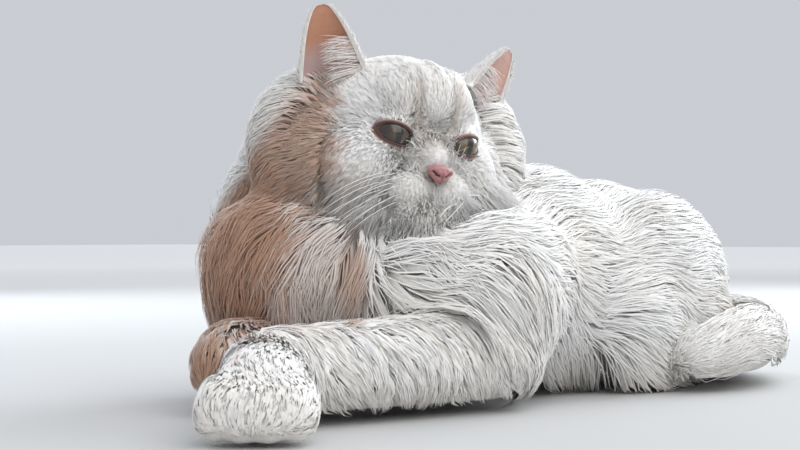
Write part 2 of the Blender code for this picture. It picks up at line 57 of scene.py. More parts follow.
# The cat's measures, as in the solids.
BACK_HEIGHT = 0.139
CHEST_HALF_WIDTH = 0.086
TAIL_RADIUS = 0.029
EYE_RADIUS = 10.5
EYE_PLACE = Vector((31, 21.5, 0))
EAR_HEIGHT = 42
EAR_WIDTH = 36
EAR_DEPTH = 12
EAR_WALL = 2.0
HEAD_CENTRE = Vector((-0.007, -0.088, 0.152))
HEAD_YAW = math.radians(64)
HEAD_ROLL = math.radians(7)
HEAD_PITCH = math.radians(2)
EAR_FOOT = {1: Vector((-4, 51, 30)), -1: Vector((-4, -46, 30))}
EAR_LEAN = {1: 33, -1: 19}
EAR_SWING = 28
SHOULDER = Vector((0.054, -0.078, 0.054))
ELBOW_LEFT = Vector((0.054, -0.088, 0.029))
WRIST_LEFT = Vector((0.008, -0.222, 0.027))
TOES_LEFT = Vector((0.048, -0.277, 0.015))
ELBOW_RIGHT = Vector((-0.060, -0.080, 0.028))
WRIST_RIGHT = Vector((-0.044, -0.190, 0.026))
TOES_RIGHT = Vector((-0.010, -0.180, 0.019))
HOCK = Vector((0.082, 0.140, 0.018))
HIND_TOES = Vector((0.090, 0.046, 0.014))
TAIL_PATH = [
    Vector((0.008, 0.178, 0.048)),
    Vector((0.035, 0.205, 0.035)),
    Vector((0.078, 0.195, 0.029)),
    Vector((0.104, 0.155, 0.028)),
    Vector((0.114, 0.112, 0.027)),
    Vector((0.105, 0.074, 0.022)),
]
RUFF_TURN = (0, 0, 36)

Piece = namedtuple("Piece", "place radii coat segments part")


def head_frame():
    """The matrix that carries the head's own millimetres to the cat's metres."""
    forward = Vector((math.sin(HEAD_YAW), -math.cos(HEAD_YAW), 0))
    up = Vector((0, 0, 1))
    left = up.cross(forward)
    rolled_left = left * math.cos(HEAD_ROLL) - up * math.sin(HEAD_ROLL)
    rolled_up = up * math.cos(HEAD_ROLL) + left * math.sin(HEAD_ROLL)
    nosed = forward * math.cos(HEAD_PITCH) - rolled_up * math.sin(HEAD_PITCH)
    crowned = rolled_up * math.cos(HEAD_PITCH) + forward * math.sin(HEAD_PITCH)
    axes = Matrix((nosed, rolled_left, crowned)).transposed()
    return Matrix.Translation(HEAD_CENTRE) @ axes.to_4x4() @ Matrix.Scale(MM, 4)


HEAD = head_frame()

# The solids were moved so that their box stands over the origin. The left eye shows by how much.
EYE_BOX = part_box("eye_left")
SHIFT = (Vector(EYE_BOX[0]) + Vector(EYE_BOX[1])) / 2 - HEAD @ EYE_PLACE


def ball(centre, radii, coat=0.0, turn=(0, 0, 0), part="body"):
    angles = Euler([math.radians(a) for a in turn])
    return Piece(Matrix.LocRotScale(Vector(centre), angles, None), radii, coat, 32, part)


def head_ball(centre, radii, coat=0.0, turn=(0, 0, 0), part="head"):
    made = ball(centre, radii, coat, turn, part)
    return made._replace(place=HEAD @ made.place)


def both(centre, radii, coat=0.0, turn=(0, 0, 0), part="head"):
    x, y, z = centre
    tilt, nod, swing = turn
    return [
        head_ball((x, y, z), radii, coat, turn, part),
        head_ball((x, -y, z), radii, coat, (-tilt, nod, -swing), part),
    ]


def smooth_path(points, steps=6):
    """Points along a curve through the given ones."""
    padded = [2 * points[0] - points[1], *points, 2 * points[-1] - points[-2]]
    found = []
    for a, b, c, d in zip(padded, padded[1:], padded[2:], padded[3:]):
        for k in range(steps):
            t = k / steps
            bend = (2 * a - 5 * b + 4 * c - d) * t**2 + (3 * b - a - 3 * c + d) * t**3
            found.append(b + 0.5 * ((c - a) * t + bend))
    return found + [points[-1]]


def limb(points, radii, coat, part, steps=6):
    path = smooth_path(points, steps)
    at = np.linspace(0, len(points) - 1, len(path))
    widths = np.interp(at, range(len(radii)), radii)
    return [ball(p, (r, r, r), coat, part=part) for p, r in zip(path, widths)]


def torso():
    rise = BACK_HEIGHT / 2
    tall = rise + 2 * MM
    wide = CHEST_HALF_WIDTH
    return [
        ball((0.000, -0.060, rise - 0.002), (wide, 0.085, tall - 0.002), 0.026, part="torso"),
        ball((0.000, 0.030, rise), (wide - 0.006, 0.100, tall), 0.024, part="torso"),
        ball((0.003, 0.110, rise - 0.002), (wide - 0.010, 0.085, tall - 0.002), 0.024, part="torso"),
    ]


def neck():
    return [
        ball((-0.056, -0.068, 0.105), (0.092, 0.052, 0.068), 0.034, RUFF_TURN, "ruff"),
        ball((-0.020, -0.045, 0.120), (0.060, 0.060, 0.040), 0.024, RUFF_TURN, "ruff"),
        ball((-0.093, -0.075, 0.138), (0.038, 0.040, 0.042), 0.024, part="mane"),
        head_ball((-26, -42, -6), (34, 44, 48), 26, part="mane"),
        head_ball((-25, 45, -6), (36, 56, 60), 24, part="mane"),
    ]


def chest():
    return [
        ball((-0.040, -0.124, 0.082), (0.072, 0.055, 0.055), 0.034, RUFF_TURN, "chest"),
        ball((0.007, -0.088, 0.062), (0.050, 0.045, 0.044), 0.024, RUFF_TURN, "chest"),
        ball((0.022, -0.089, 0.072), (0.055, 0.046, 0.044), 0.024, RUFF_TURN, "chest"),
    ]


def head():
    pieces = [
        head_ball((-8, 0, 8), (46, 50, 43)),
        head_ball((17, 0, 23), (27, 33, 23)),
        head_ball((12, 0, -36), (30, 34, 18)),
        head_ball((38, 0, -10), (13, 10, 13)),
        head_ball((36, 0, -45), (14, 14, 9)),
    ]
    pieces += both((14, 30, -16), (26, 25, 24))
    pieces += both((27, 13, 15), (13, 12, 9))
    pieces += both((38, 11.5, -28), (14, 14.5, 12))
    pieces += both((-8, 42, -14), (28, 30, 32), 18, part="jowl")
    pieces += both(EYE_PLACE + Vector((-1, 1, 0)), (13, 14, 13.5))
    return pieces


def upperarm(side):
    place = (SHOULDER.x * side, SHOULDER.y, SHOULDER.z)
    return [ball(place, (0.034, 0.044, 0.046), 0.018, part="shoulder")]


def forearm(elbow, wrist, part):
    return limb([elbow, elbow.lerp(wrist, 0.5), wrist], [0.029, 0.028, 0.026], 0.010, part)


def forepaw_left():
    ahead = (TOES_LEFT - WRIST_LEFT).normalized()
    across = Vector((0, 0, 1)).cross(ahead).normalized()
    ends = [WRIST_LEFT.lerp(TOES_LEFT, t) for t in (0.15, 0.55)]
    pieces = limb(ends, [0.022, 0.024], 0, "paw_left")
    for spread in (-1.5, -0.5, 0.5, 1.5):
        reach = (4 - 3 * abs(spread)) * MM
        toe = TOES_LEFT + across * spread * 12.5 * MM + ahead * reach
        pieces.append(ball(toe, (0.0115, 0.0115, 0.0155), part="paw_left"))
        pieces.append(ball(toe - ahead * 0.012, (0.0115, 0.0115, 0.017), part="paw_left"))
    return pieces


def forepaw_right():
    ends = [WRIST_RIGHT.lerp(TOES_RIGHT, 0.2), TOES_RIGHT]
    return limb(ends, [0.021, 0.021], 0, "paw_right")


def hindleg(side):
    return [
        ball((side * 0.060, 0.104, 0.061), (0.044, 0.074, 0.067), 0.022, part="thigh"),
        ball((side * 0.072, 0.052, 0.042), (0.030, 0.040, 0.045), 0.020, part="thigh"),
    ]


def hindfoot(side):
    mirror = Matrix.Diagonal((side, 1, 1))
    under_fur = Vector((-0.020, 0.022, 0))
    hock, toes = mirror @ (HOCK + under_fur), mirror @ (HIND_TOES + under_fur)
    pieces = limb([hock, toes], [0.020, 0.018], 0, "hindfoot")
    for spread in (-1, 0, 1):
        toe = toes + Vector((spread * 0.010, -0.010, 0))
        pieces.append(ball(toe, (0.009, 0.013, 0.0145), part="hindfoot"))
    return pieces


def tail():
    path = smooth_path(TAIL_PATH, 5)
    pieces = []
    for k, point in enumerate(path):
        radius = TAIL_RADIUS * (1 - 0.25 * (k / (len(path) - 1)) ** 4)
        pieces.append(ball(point, (radius, radius, radius), 0.014, part="tail"))
    return pieces


def body_pieces():
    pieces = torso() + neck() + chest() + forepaw_left() + forepaw_right() + tail()
    pieces += forearm(ELBOW_LEFT, WRIST_LEFT, "arm_left")
    pieces += forearm(ELBOW_RIGHT, WRIST_RIGHT, "arm_right")
    for side in (1, -1):
        pieces += upperarm(side) + hindleg(side) + hindfoot(side)
    return pieces


# Meshes and fields.
SHORT_COAT = 1.6 * MM
SKIN_SHARE = {"jowl": 0.30, "mane": 0.40}


def pulled_in(piece, under_coat=True):
    """The piece's radii under its share of the coat, at least under a short one."""
    scale = piece.place.to_scale().x
    pull = max(piece.coat * SKIN_SHARE.get(piece.part, 0.55), SHORT_COAT / scale)
    return [max(r - pull * under_coat, 0.3 * r) for r in piece.radii]


def mesh_of(bm, name):
    """The mesh of a bmesh, which is freed."""
    mesh = bpy.data.meshes.new(name)
    bm.to_mesh(mesh)
    bm.free()
    return mesh


def united(meshes, fine, soften):
    """One closed surface round closed meshes, evenly meshed and softened."""
    obj = bpy.data.objects.new("united", joined(meshes))
    bpy.context.scene.collection.objects.link(obj)
    remesh = obj.modifiers.new("remesh", "REMESH")
    remesh.mode = "VOXEL"
    remesh.voxel_size = fine
    remesh.use_smooth_shade = True
    smooth = obj.modifiers.new("smooth", "SMOOTH")
    smooth.factor = 0.5
    smooth.iterations = soften
    graph = bpy.context.evaluated_depsgraph_get()
    made = bpy.data.meshes.new_from_object(obj.evaluated_get(graph), depsgraph=graph)
    bpy.data.objects.remove(obj)
    return made


def fused(pieces, under_coat, fine, soften, fill=0.0):
    """One closed surface round the pieces, with the creases between them filled up."""
    bm = bmesh.new()
    for piece in pieces:
        more = fill / piece.place.to_scale().x
        radii = [radius + more for radius in pulled_in(piece, under_coat)]
        one = bmesh.new()
        bmesh.ops.create_uvsphere(one, u_segments=piece.segments, v_segments=20, radius=1)
        one.transform(piece.place @ Matrix.Diagonal((*radii, 1)))
        mesh = mesh_of(one, "ball")
        bm.from_mesh(mesh)
        bpy.data.meshes.remove(mesh)
    made = united([mesh_of(bm, "fused")], fine, soften)
    if fill:
        moved(made, normals_of(made) * -fill)
    return made


def placed(mesh, points):
    mesh.vertices.foreach_set("co", points.ravel())
    mesh.update()


def moved(mesh, by):
    placed(mesh, places_of(mesh) + by)


def whole_body(under_coat, fine):
    """The whole cat: trunk, and head with ruff, each without creases, and the limbs as they are."""
    body = body_pieces()
    kinds = [("torso", "thigh", "shoulder", "hindfoot"), ("ruff", "mane", "chest")]
    groups = [[piece for piece in body if piece.part in kind] for kind in kinds]
    limbs = [piece for piece in body if piece.part not in kinds[0] + kinds[1]]
    meshes = [
        fused(groups[0], under_coat, 3.2 * MM, 4, 20 * MM),
        fused(groups[1] + head(), under_coat, 3.0 * MM, 4, 16 * MM),
        fused(limbs, under_coat, 2.4 * MM, 3),
    ]
    return united(meshes, fine, 6)


def vectors_of(items, field):
    flat = np.empty(len(items) * 3)
    items.foreach_get(field, flat)
    return flat.reshape(-1, 3)


def places_of(mesh):
    return vectors_of(mesh.vertices, "co")


def normals_of(mesh):
    return vectors_of(mesh.vertex_normals, "vector")


def unit(vectors):
    return vectors / np.maximum(np.linalg.norm(vectors, axis=-1, keepdims=True), 1e-12)


def norm(vectors):
    return np.linalg.norm(vectors, axis=1)


def toward(colour, other, share):
    """Colours drawn to another one by a share from 0 to 1."""
    return colour + (np.array(other) - colour) * share


def smoothstep(low, high, x):
    t = np.clip((x - low) / (high - low), 0, 1)
    return t * t * (3 - 2 * t)


def tree_of(mesh):
    bm = bmesh.new()
    bm.from_mesh(mesh)
    tree = BVHTree.FromBMesh(bm)
    bm.free()
    return tree


def transformed(matrix, points):
    m = np.array(matrix)
    return points @ m[:3, :3].T + m[:3, 3]


TO_HEAD = HEAD.inverted()


def in_head(mesh):
    """A mesh's places and normals in the head's own frame."""
    normals = unit(normals_of(mesh) @ np.array(TO_HEAD)[:3, :3].T)
    return transformed(TO_HEAD, places_of(mesh)), normals


def waves(points, scale, seed=0):
    """A smooth random value from -1 to 1 at each point, with features of about the scale."""
    draw = np.random.default_rng(seed)
    total = np.zeros(len(points))
    for _ in range(7):
        direction = unit(draw.normal(size=3)) * draw.uniform(0.7, 1.6) * 2 * math.pi / scale
        total += np.sin(points @ direction + draw.uniform(0, 2 * math.pi))
    return np.clip(total / 3.2, -1, 1)


def part_of(points, pieces):
    """For each point the index of the piece whose surface is nearest, at the share of the skin."""
    best = np.full(len(points), 1e9)
    found = np.zeros(len(points), int)
    for k, piece in enumerate(pieces):
        radii = np.array(pulled_in(piece))
        local = transformed(piece.place.inverted(), points) / radii
        size = radii.min() * piece.place.to_scale().x
        away = np.abs(norm(local) - 1) * size
        nearer = away < best
        best[nearer] = away[nearer]
        found[nearer] = k
    return found


def eye_axes(side):
    """The eye's centre in the head's frame and its axes: out, to the outer corner, up."""
    turn = Euler((math.radians(12 * side), 0, math.radians(14 * side))).to_matrix()
    centre = Vector((EYE_PLACE.x, side * EYE_PLACE.y, EYE_PLACE.z))
    out, along, up = (np.array(turn.col[k]) for k in range(3))
    return np.array(centre), out, along * side, up


LID_WIDTH = 10.9
LID_HEIGHT = 5.7


def lid_height(across):
    """Half the height of the opening between the lids, at a share of the way to its corners."""
    return LID_HEIGHT * np.sqrt(np.maximum(1 - np.abs(across) ** 2.2, 0))


def eye_reach(points, side):
    """How far outside the lids' opening a point of the head lies, 1 at the rim, and its depth."""
    centre, out, along, up = eye_axes(side)
    away = points - centre
    flat = np.hypot((away @ along) / LID_WIDTH, (away @ up) / LID_HEIGHT)
    return np.where(away @ out > 0, flat, 9.0), norm(away)


def mouth_path(side):
    corner, under_pad, middle, top = (36, 21, -42), (47, 11, -41), (52.5, 2, -37), (54, 0, -28)
    path = smooth_path([Vector(p) for p in (corner, under_pad, middle, top)], 4)
    return np.array([(p.x, side * p.y, p.z) for p in path])


def near_path(points, path):
    """Each point's distance from a path of straight lengths."""
    best = np.full(len(points), 1e9)
    for a, b in zip(path, path[1:]):
        run = b - a
        t = np.clip((points - a) @ run / (run @ run), 0, 1)[:, None]
        best = np.minimum(best, norm(points - a - t * run))
    return best


FURROW = [(42, 13.5, 37), (44, 12.5, 27), (44, 11.5, 14), (44, 8.5, 5), (48, 4.0, -1.5)]


def furrows(points):
    """Distance from the two creases that run down the forehead to the top of the nose."""
    found = []
    for side in (1, -1):
        path = smooth_path([Vector((x, side * y, z)) for x, y, z in FURROW], 3)
        flat = np.array([(0, p.y, p.z) for p in path])
        found.append(near_path(points * (0, 1, 1), flat))
    away = np.minimum(*found)
    return np.where(points[:, 0] > 15, away, 99.0)


def carve_face(mesh):
    """Works folds, the line of the mouth, and lids that lie on the eyes, into the head's skin."""
    points, normals = in_head(mesh)
    push = -3.2 * np.exp(-((furrows(points) / 2.9) ** 2))
    push += 1.5 * np.exp(-((points[:, 1] / 6) ** 2)) * smoothstep(4, 14, points[:, 2])
    push -= 2.4 * np.exp(-(((points[:, 2] + 2.5) / 2.4) ** 2) - (points[:, 1] / 8) ** 2)
    for side in (1, -1):
        line = near_path(points, mouth_path(side))
        push -= 2.2 * np.exp(-((line / 1.6) ** 2))
        trough = near_path(points, np.array([(45, side * 11, -5), (50, side * 10, -14)]))
        push -= 1.1 * np.exp(-((trough / 2.4) ** 2))
    points = points + normals * (push * (points[:, 0] > 10))[:, None]
    for side in (1, -1):
        centre = eye_axes(side)[0]
        reach, away = eye_reach(points, side)
        ray = (points - centre) / np.maximum(away, 1e-6)[:, None]
        lidded = centre + ray * (EYE_RADIUS + 0.7)
        share = (1 - smoothstep(1.0, 1.75, reach))[:, None]
        fold = 0.9 * np.exp(-(((reach - 1.55) / 0.16) ** 2))
        points = points * (1 - share) + lidded * share - ray * fold[:, None]
        inside = reach < 0.97
        points[inside] = (centre + ray * (EYE_RADIUS - 1.6))[inside]
    placed(mesh, transformed(HEAD, points))


# The lie of the coat.
def away(points, centre):
    return unit(points - np.array(centre))


def along_path(points, path, outward):
    path = [np.array(p) for p in path]
    which = np.argmin([norm(points - p) for p in path], axis=0)
    which = np.clip(which, 1, len(path) - 2)
    ahead = unit(np.array([path[k + 1] - path[k - 1] for k in range(1, len(path) - 1)]))
    centre = np.array(path)[which]
    return ahead[which - 1] + unit(points - centre) * outward


def lie_of(part, points):
    down = np.array((0, 0, -1.0))
    if part in ("head", "jowl"):
        local = transformed(TO_HEAD, points)
        out = away(points, HEAD @ Vector((58, 0, -12)))
        for side in (1, -1):
            centre = eye_axes(side)[0]
            off = local - centre
            near = np.exp(-((norm(off) / 15) ** 2))
            out = out + unit(off @ np.array(HEAD)[:3, :3].T) * (1.7 * near)[:, None]
        fall = 0.35 * smoothstep(5, -10, local[:, 2]) + 0.9 * smoothstep(-22, -46, local[:, 2])
        return out + down * fall[:, None]
    if part in ("ruff", "mane", "chest"):
        fall = 0.6 if part == "mane" else 1.2
        return away(points, HEAD @ Vector((70, 0, 10))) + np.array((0, 0.1, -fall))
    if part == "shoulder":
        return np.array((0.15, 0.50, -0.95)) + points * 0
    if part in ("torso", "thigh", "hindfoot"):
        fall = np.where(points[:, 2] < 0.1, 0.20, 0.12)
        return np.array((0, 1.0, 0)) + down * fall[:, None]
    if part == "arm_left":
        return np.array((ELBOW_LEFT - WRIST_LEFT).normalized()) * 0.45 + down + points * 0
    if part == "arm_right":
        return np.array((WRIST_RIGHT - ELBOW_RIGHT).normalized()) + down * 0.6 + points * 0
    if part == "paw_left":
        return np.array((TOES_LEFT - WRIST_LEFT).normalized()) + down * 0.2 + points * 0
    if part == "paw_right":
        return np.array((TOES_RIGHT - WRIST_RIGHT).normalized()) + down * 0.2 + points * 0
    return along_path(points, smooth_path(TAIL_PATH, 5), 0.25)


# For each part: the tufts' length and width in mm, tufts for each square mm, how far they
# gather to the tip of their clump, and how far the clump waves in mm.
Coat = namedtuple("Coat", "length width density gather wave")
COATS = {
    "head": Coat(6, 0.55, 1.50, 0.15, 0.2),
    "jowl": Coat(26, 0.75, 0.60, 0.45, 1.0),
    "mane": Coat(40, 0.90, 0.40, 0.55, 2.0),
    "ruff": Coat(50, 0.95, 0.38, 0.66, 4.4),
    "chest": Coat(44, 0.90, 0.42, 0.66, 4.4),
    "torso": Coat(44, 1.45, 0.21, 0.30, 0.9),
    "shoulder": Coat(36, 1.15, 0.32, 0.38, 1.1),
    "thigh": Coat(42, 1.45, 0.22, 0.30, 0.9),
    "arm_left": Coat(17, 0.80, 0.60, 0.60, 0.9),
    "arm_right": Coat(17, 0.85, 0.42, 0.55, 0.9),
    "paw_left": Coat(7, 0.60, 1.05, 0.20, 0.2),
    "paw_right": Coat(7, 0.75, 0.40, 0.20, 0.2),
    "hindfoot": Coat(28, 1.10, 0.30, 0.45, 1.0),
    "tail": Coat(38, 1.10, 0.34, 0.50, 1.6),
}


def edges_of(mesh):
    flat = np.empty(len(mesh.edges) * 2, int)
    mesh.edges.foreach_get("vertices", flat)
    return flat.reshape(-1, 2)


def softened(values, edges, rounds):
    """Values at the corners of a mesh, each drawn towards the mean of its neighbours."""
    count = np.bincount(edges.ravel(), minlength=len(values)).astype(float)[:, None]
    first, second = edges[:, 0], edges[:, 1]
    for _ in range(rounds):
        total = np.empty_like(values)
        for column in range(values.shape[1]):
            total[:, column] = np.bincount(first, values[second, column], len(values))
            total[:, column] += np.bincount(second, values[first, column], len(values))
        values = 0.4 * values + 0.6 * total / np.maximum(count, 1)
    return values


class Pelt:
    """A skin with the fields that its tufts follow, read at its faces."""

    def __init__(self, mesh, pieces, coat_tree, rounds):
        self.tree = tree_of(mesh)
        points, normals, edges = places_of(mesh), normals_of(mesh), edges_of(mesh)
        owner = part_of(points, pieces)
        parts = np.array([piece.part for piece in pieces])[owner]
        lie = np.zeros((len(points), 3))
        coat = np.zeros((len(points), 5))
        for part in set(parts):
            mine = parts == part
            lie[mine] = unit(lie_of(part, points[mine]))
            coat[mine] = COATS[part]
        depth = np.zeros((len(points), 1))
        for k, (point, normal) in enumerate(zip(points, normals)):
            hit = coat_tree.ray_cast(Vector(point), Vector(normal), 0.06)[3]
            depth[k] = hit if hit else SHORT_COAT
        fields = softened(np.hstack((lie, coat, depth)), edges, rounds)
        swirl = waves(points, 0.05, 3)[:, None] * np.cross(normals, fields[:, :3])
        fields[:, :3] = unit(fields[:, :3] + 0.35 * swirl)
        mesh.calc_loop_triangles()
        self.corners = np.array([face.vertices[:] for face in mesh.loop_triangles])
        first = [face.vertices[0] for face in mesh.polygons]
        self.points, self.normals, self.fields, self.parts = points, normals, fields, parts
        self.heads = [Vector(f) for f in fields[first, :3]]
        self.ups = [Vector(n) for n in unit(softened(normals, edges, rounds))[first]]

    def spread(self, density, draw):
        """Random roots: places, fields and parts, so many for each square metre."""
        a, b, c = (self.points[self.corners[:, k]] for k in range(3))
        area = norm(np.cross(b - a, c - a)) / 2
        wanted = area * density[self.corners].mean(axis=1)
        count = draw.poisson(wanted)
        which = np.repeat(np.arange(len(count)), count)
        u, v = draw.random((2, len(which)))
        over = u + v > 1
        u[over], v[over] = 1 - u[over], 1 - v[over]
        share = np.stack((1 - u - v, u, v), axis=1)[:, :, None]
        corners = self.corners[which]
        place = (self.points[corners] * share).sum(axis=1)
        return place, (self.fields[corners] * share).sum(axis=1), self.parts[corners[:, 0]]

    def walk(self, roots, reach, veer, stations):
        """Stations along the skin from each root, following the lie, and the normals there."""
        path = np.empty((len(roots), stations, 3))
        ups = np.empty_like(path)
        find, heads, normals = self.tree.find_nearest, self.heads, self.ups
        for i in range(len(roots)):
            place, _, face, _ = find(roots[i])
            step, c, s = reach[i], math.cos(veer[i]), math.sin(veer[i])
            for k in range(stations):
                normal = normals[face]
                path[i, k] = place
                ups[i, k] = normal
                ahead = heads[face]
                ahead = (ahead - normal * ahead.dot(normal)).normalized()
                ahead = ahead * c + normal.cross(ahead) * s
                place, _, face, _ = find(place + ahead * step)
        return path, ups


RISE = {
    3: np.array((0.0, 0.80, 1.0)),
    4: np.array((0.0, 0.78, 0.95, 1.0)),
    5: np.array((0.0, 0.68, 0.90, 0.97, 1.0)),
}
TAPER = {
    3: np.array((0.85, 0.75)),
    4: np.array((0.8, 1.0, 0.6)),
    5: np.array((0.8, 1.0, 0.85, 0.5)),
}


def gathered(path, roots, strength, spacing, draw):
    """Paths drawn to that of the clump that each one roots in, more towards the tip."""
    count = len(roots)
    stations = path.shape[1]
    middle = np.flatnonzero(draw.random(count) < 1 / np.maximum(spacing, 1))
    if not len(middle):
        return path, np.zeros(count, int)
    tree = KDTree(len(middle))
    for k, index in enumerate(middle):
        tree.insert(roots[index], k)
    tree.balance()
    clump = np.array([tree.find(root)[1] for root in roots])
    share = np.linspace(0, 1, stations) ** 1.4
    pull = strength[:, None] * share
    target = path[middle[clump]]
    return path + (target - path) * pull[:, :, None], clump


def wavy(path, ups, clump, size, draw):
    """Sways each clump from side to side, all its tufts together."""
    stations = path.shape[1]
    ahead = unit(np.gradient(path, axis=1))
    side = unit(np.cross(ups, ahead))
    clumps = clump.max() + 1
    phase = draw.uniform(0, 2 * math.pi, clumps)[clump][:, None]
    turns = draw.uniform(0.8, 1.5, clumps)[clump][:, None]
    at = np.linspace(0, 1, stations)
    sway = (np.sin(phase + 2 * math.pi * turns * at) - np.sin(phase)) * at**0.6
    return path + side * (sway * size[:, None])[:, :, None]


def tuft_mesh(name, path, ups, width, uv, colour, roundness=0.5):
    """Closed, flat, tapering tufts in one mesh: three-sided, capped at the root, pointed.

    The roundness says how far the shading of each tuft turns to its sides.
    """
    count, stations = path.shape[:2]
    rings = stations - 1
    ahead = unit(np.gradient(path, axis=1))[:, :rings]
    across = unit(np.cross(ahead, ups[:, :rings]))
    lift = unit(np.cross(across, ahead))
    half = (width[:, None] * TAPER[stations] / 2)[:, :, None]
    base = path[:, :rings]
    ring = np.stack((base - across * half, base + across * half, base + lift * half * 0.7), axis=2)
    corners = np.concatenate((ring.reshape(count, rings * 3, 3), path[:, -1:]), axis=1)
    faces = [(0, 1, 2)]
    for k in range(rings - 1):
        for j in range(3):
            a, b = 3 * k + j, 3 * k + (j + 1) % 3
            faces += [(a, b + 3, b), (a, a + 3, b + 3)]
    last = 3 * (rings - 1)
    faces += [(last + (j + 1) % 3, last + j, last + 3) for j in range(3)]
    faces = np.array(faces)
    each = rings * 3 + 1
    all_faces = (faces[None] + (np.arange(count) * each)[:, None, None]).reshape(-1, 3)
    corners[:, :, 2] = np.maximum(corners[:, :, 2], 0.4 * MM)
    mesh = bpy.data.meshes.new(name)
    mesh.vertices.add(count * each)
    mesh.vertices.foreach_set("co", corners.astype(np.float32).ravel())
    mesh.loops.add(len(all_faces) * 3)
    mesh.loops.foreach_set("vertex_index", all_faces.astype(np.int32).ravel())
    mesh.polygons.add(len(all_faces))
    mesh.polygons.foreach_set("loop_start", np.arange(0, len(all_faces) * 3, 3, dtype=np.int32))
    mesh.polygons.foreach_set("use_smooth", np.ones(len(all_faces), bool))
    mesh.update(calc_edges=True)
    outward = ups[:, :rings]
    side = across * roundness
    around = np.stack((outward - side, outward + side, outward + lift * 0.3), axis=2)
    soft = np.concatenate((around.reshape(count, rings * 3, 3), ups[:, -1:]), axis=1)
    mesh.normals_split_custom_set_from_vertices(unit(soft).reshape(-1, 3))
    at = np.append(np.repeat(np.arange(rings), 3), rings) / rings
    sides = np.append(np.tile((0.0, 1.0, 0.5), rings), 0.5)
    patch = np.stack((sides, at), axis=1) * 0.003 - 0.0015
    spots = (np.clip(uv, 0.002, 0.998)[:, None] + patch[None]).reshape(-1, 2)
    layer = mesh.uv_layers.new(name="OFBake")
    layer.data.foreach_set("uv", spots[all_faces.ravel()].astype(np.float32).ravel())
    shade = mesh.color_attributes.new("pelt", "FLOAT_COLOR", "POINT")
    tint = np.ones((count, each, 4), np.float32)
    # Painted shade: each tuft is darker towards its root, where the coat shades it.
    dark = (0.92 + 0.08 * at**0.7)[None, :, None]
    station = np.append(np.repeat(np.arange(rings), 3), rings)
    tint[:, :, :3] = colour[:, station] * dark
    shade.data.foreach_set("color", tint.ravel())
    return mesh


# Coat colours and marks, with painted light and shade.
WHITE = np.array((0.95, 0.94, 0.92))
CREAM = np.array((0.90, 0.85, 0.78))
WARM_LIGHT_TINT = np.array((0.53, 0.315, 0.215))
BROWN_STAIN_AND_SHADE = np.array((0.56, 0.40, 0.29))
TAIL_SHADE = np.array((0.44, 0.36, 0.29))

# Patches of painted warm light and shade by the ruff's own axes: middle, size and strength.
WARM_LIGHT_PATCHES = [
    ((-0.122, -0.060, 0.150), (0.034, 0.180, 0.056), 0.85),
    ((-0.150, -0.060, 0.094), (0.043, 0.180, 0.074), 1.0),
    ((-0.106, -0.090, 0.078), (0.022, 0.120, 0.040), 0.42),
    ((-0.084, -0.090, 0.070), (0.009, 0.120, 0.028), 0.75),
    ((-0.166, -0.060, 0.026), (0.022, 0.180, 0.028), 1.0),
]


def ruff_axes(points):
    """The points along the ruff's width, depth and height."""
    turn = Euler((0, 0, math.radians(RUFF_TURN[2]))).to_matrix()
    return points @ np.array(turn)


def ribs(points):
    """The troughs of the waves across the left forearm, 1 at the bottom and 0 off the arm."""
    axis = np.array(ELBOW_LEFT - WRIST_LEFT)
    run = axis / np.linalg.norm(axis)
    off = points - np.array(WRIST_LEFT)
    along = off @ run
    aside = norm(off - along[:, None] * run)
    on_arm = smoothstep(-0.012, 0.012, along) * (1 - smoothstep(0.125, 0.150, along))
    on_arm *= 1 - smoothstep(0.036, 0.046, aside)
    slant = (along + 0.45 * points[:, 2]) / 0.0105 + 0.7 * waves(points, 0.045, 21)
    return on_arm * smoothstep(0.15, 0.95, np.sin(2 * math.pi * slant))


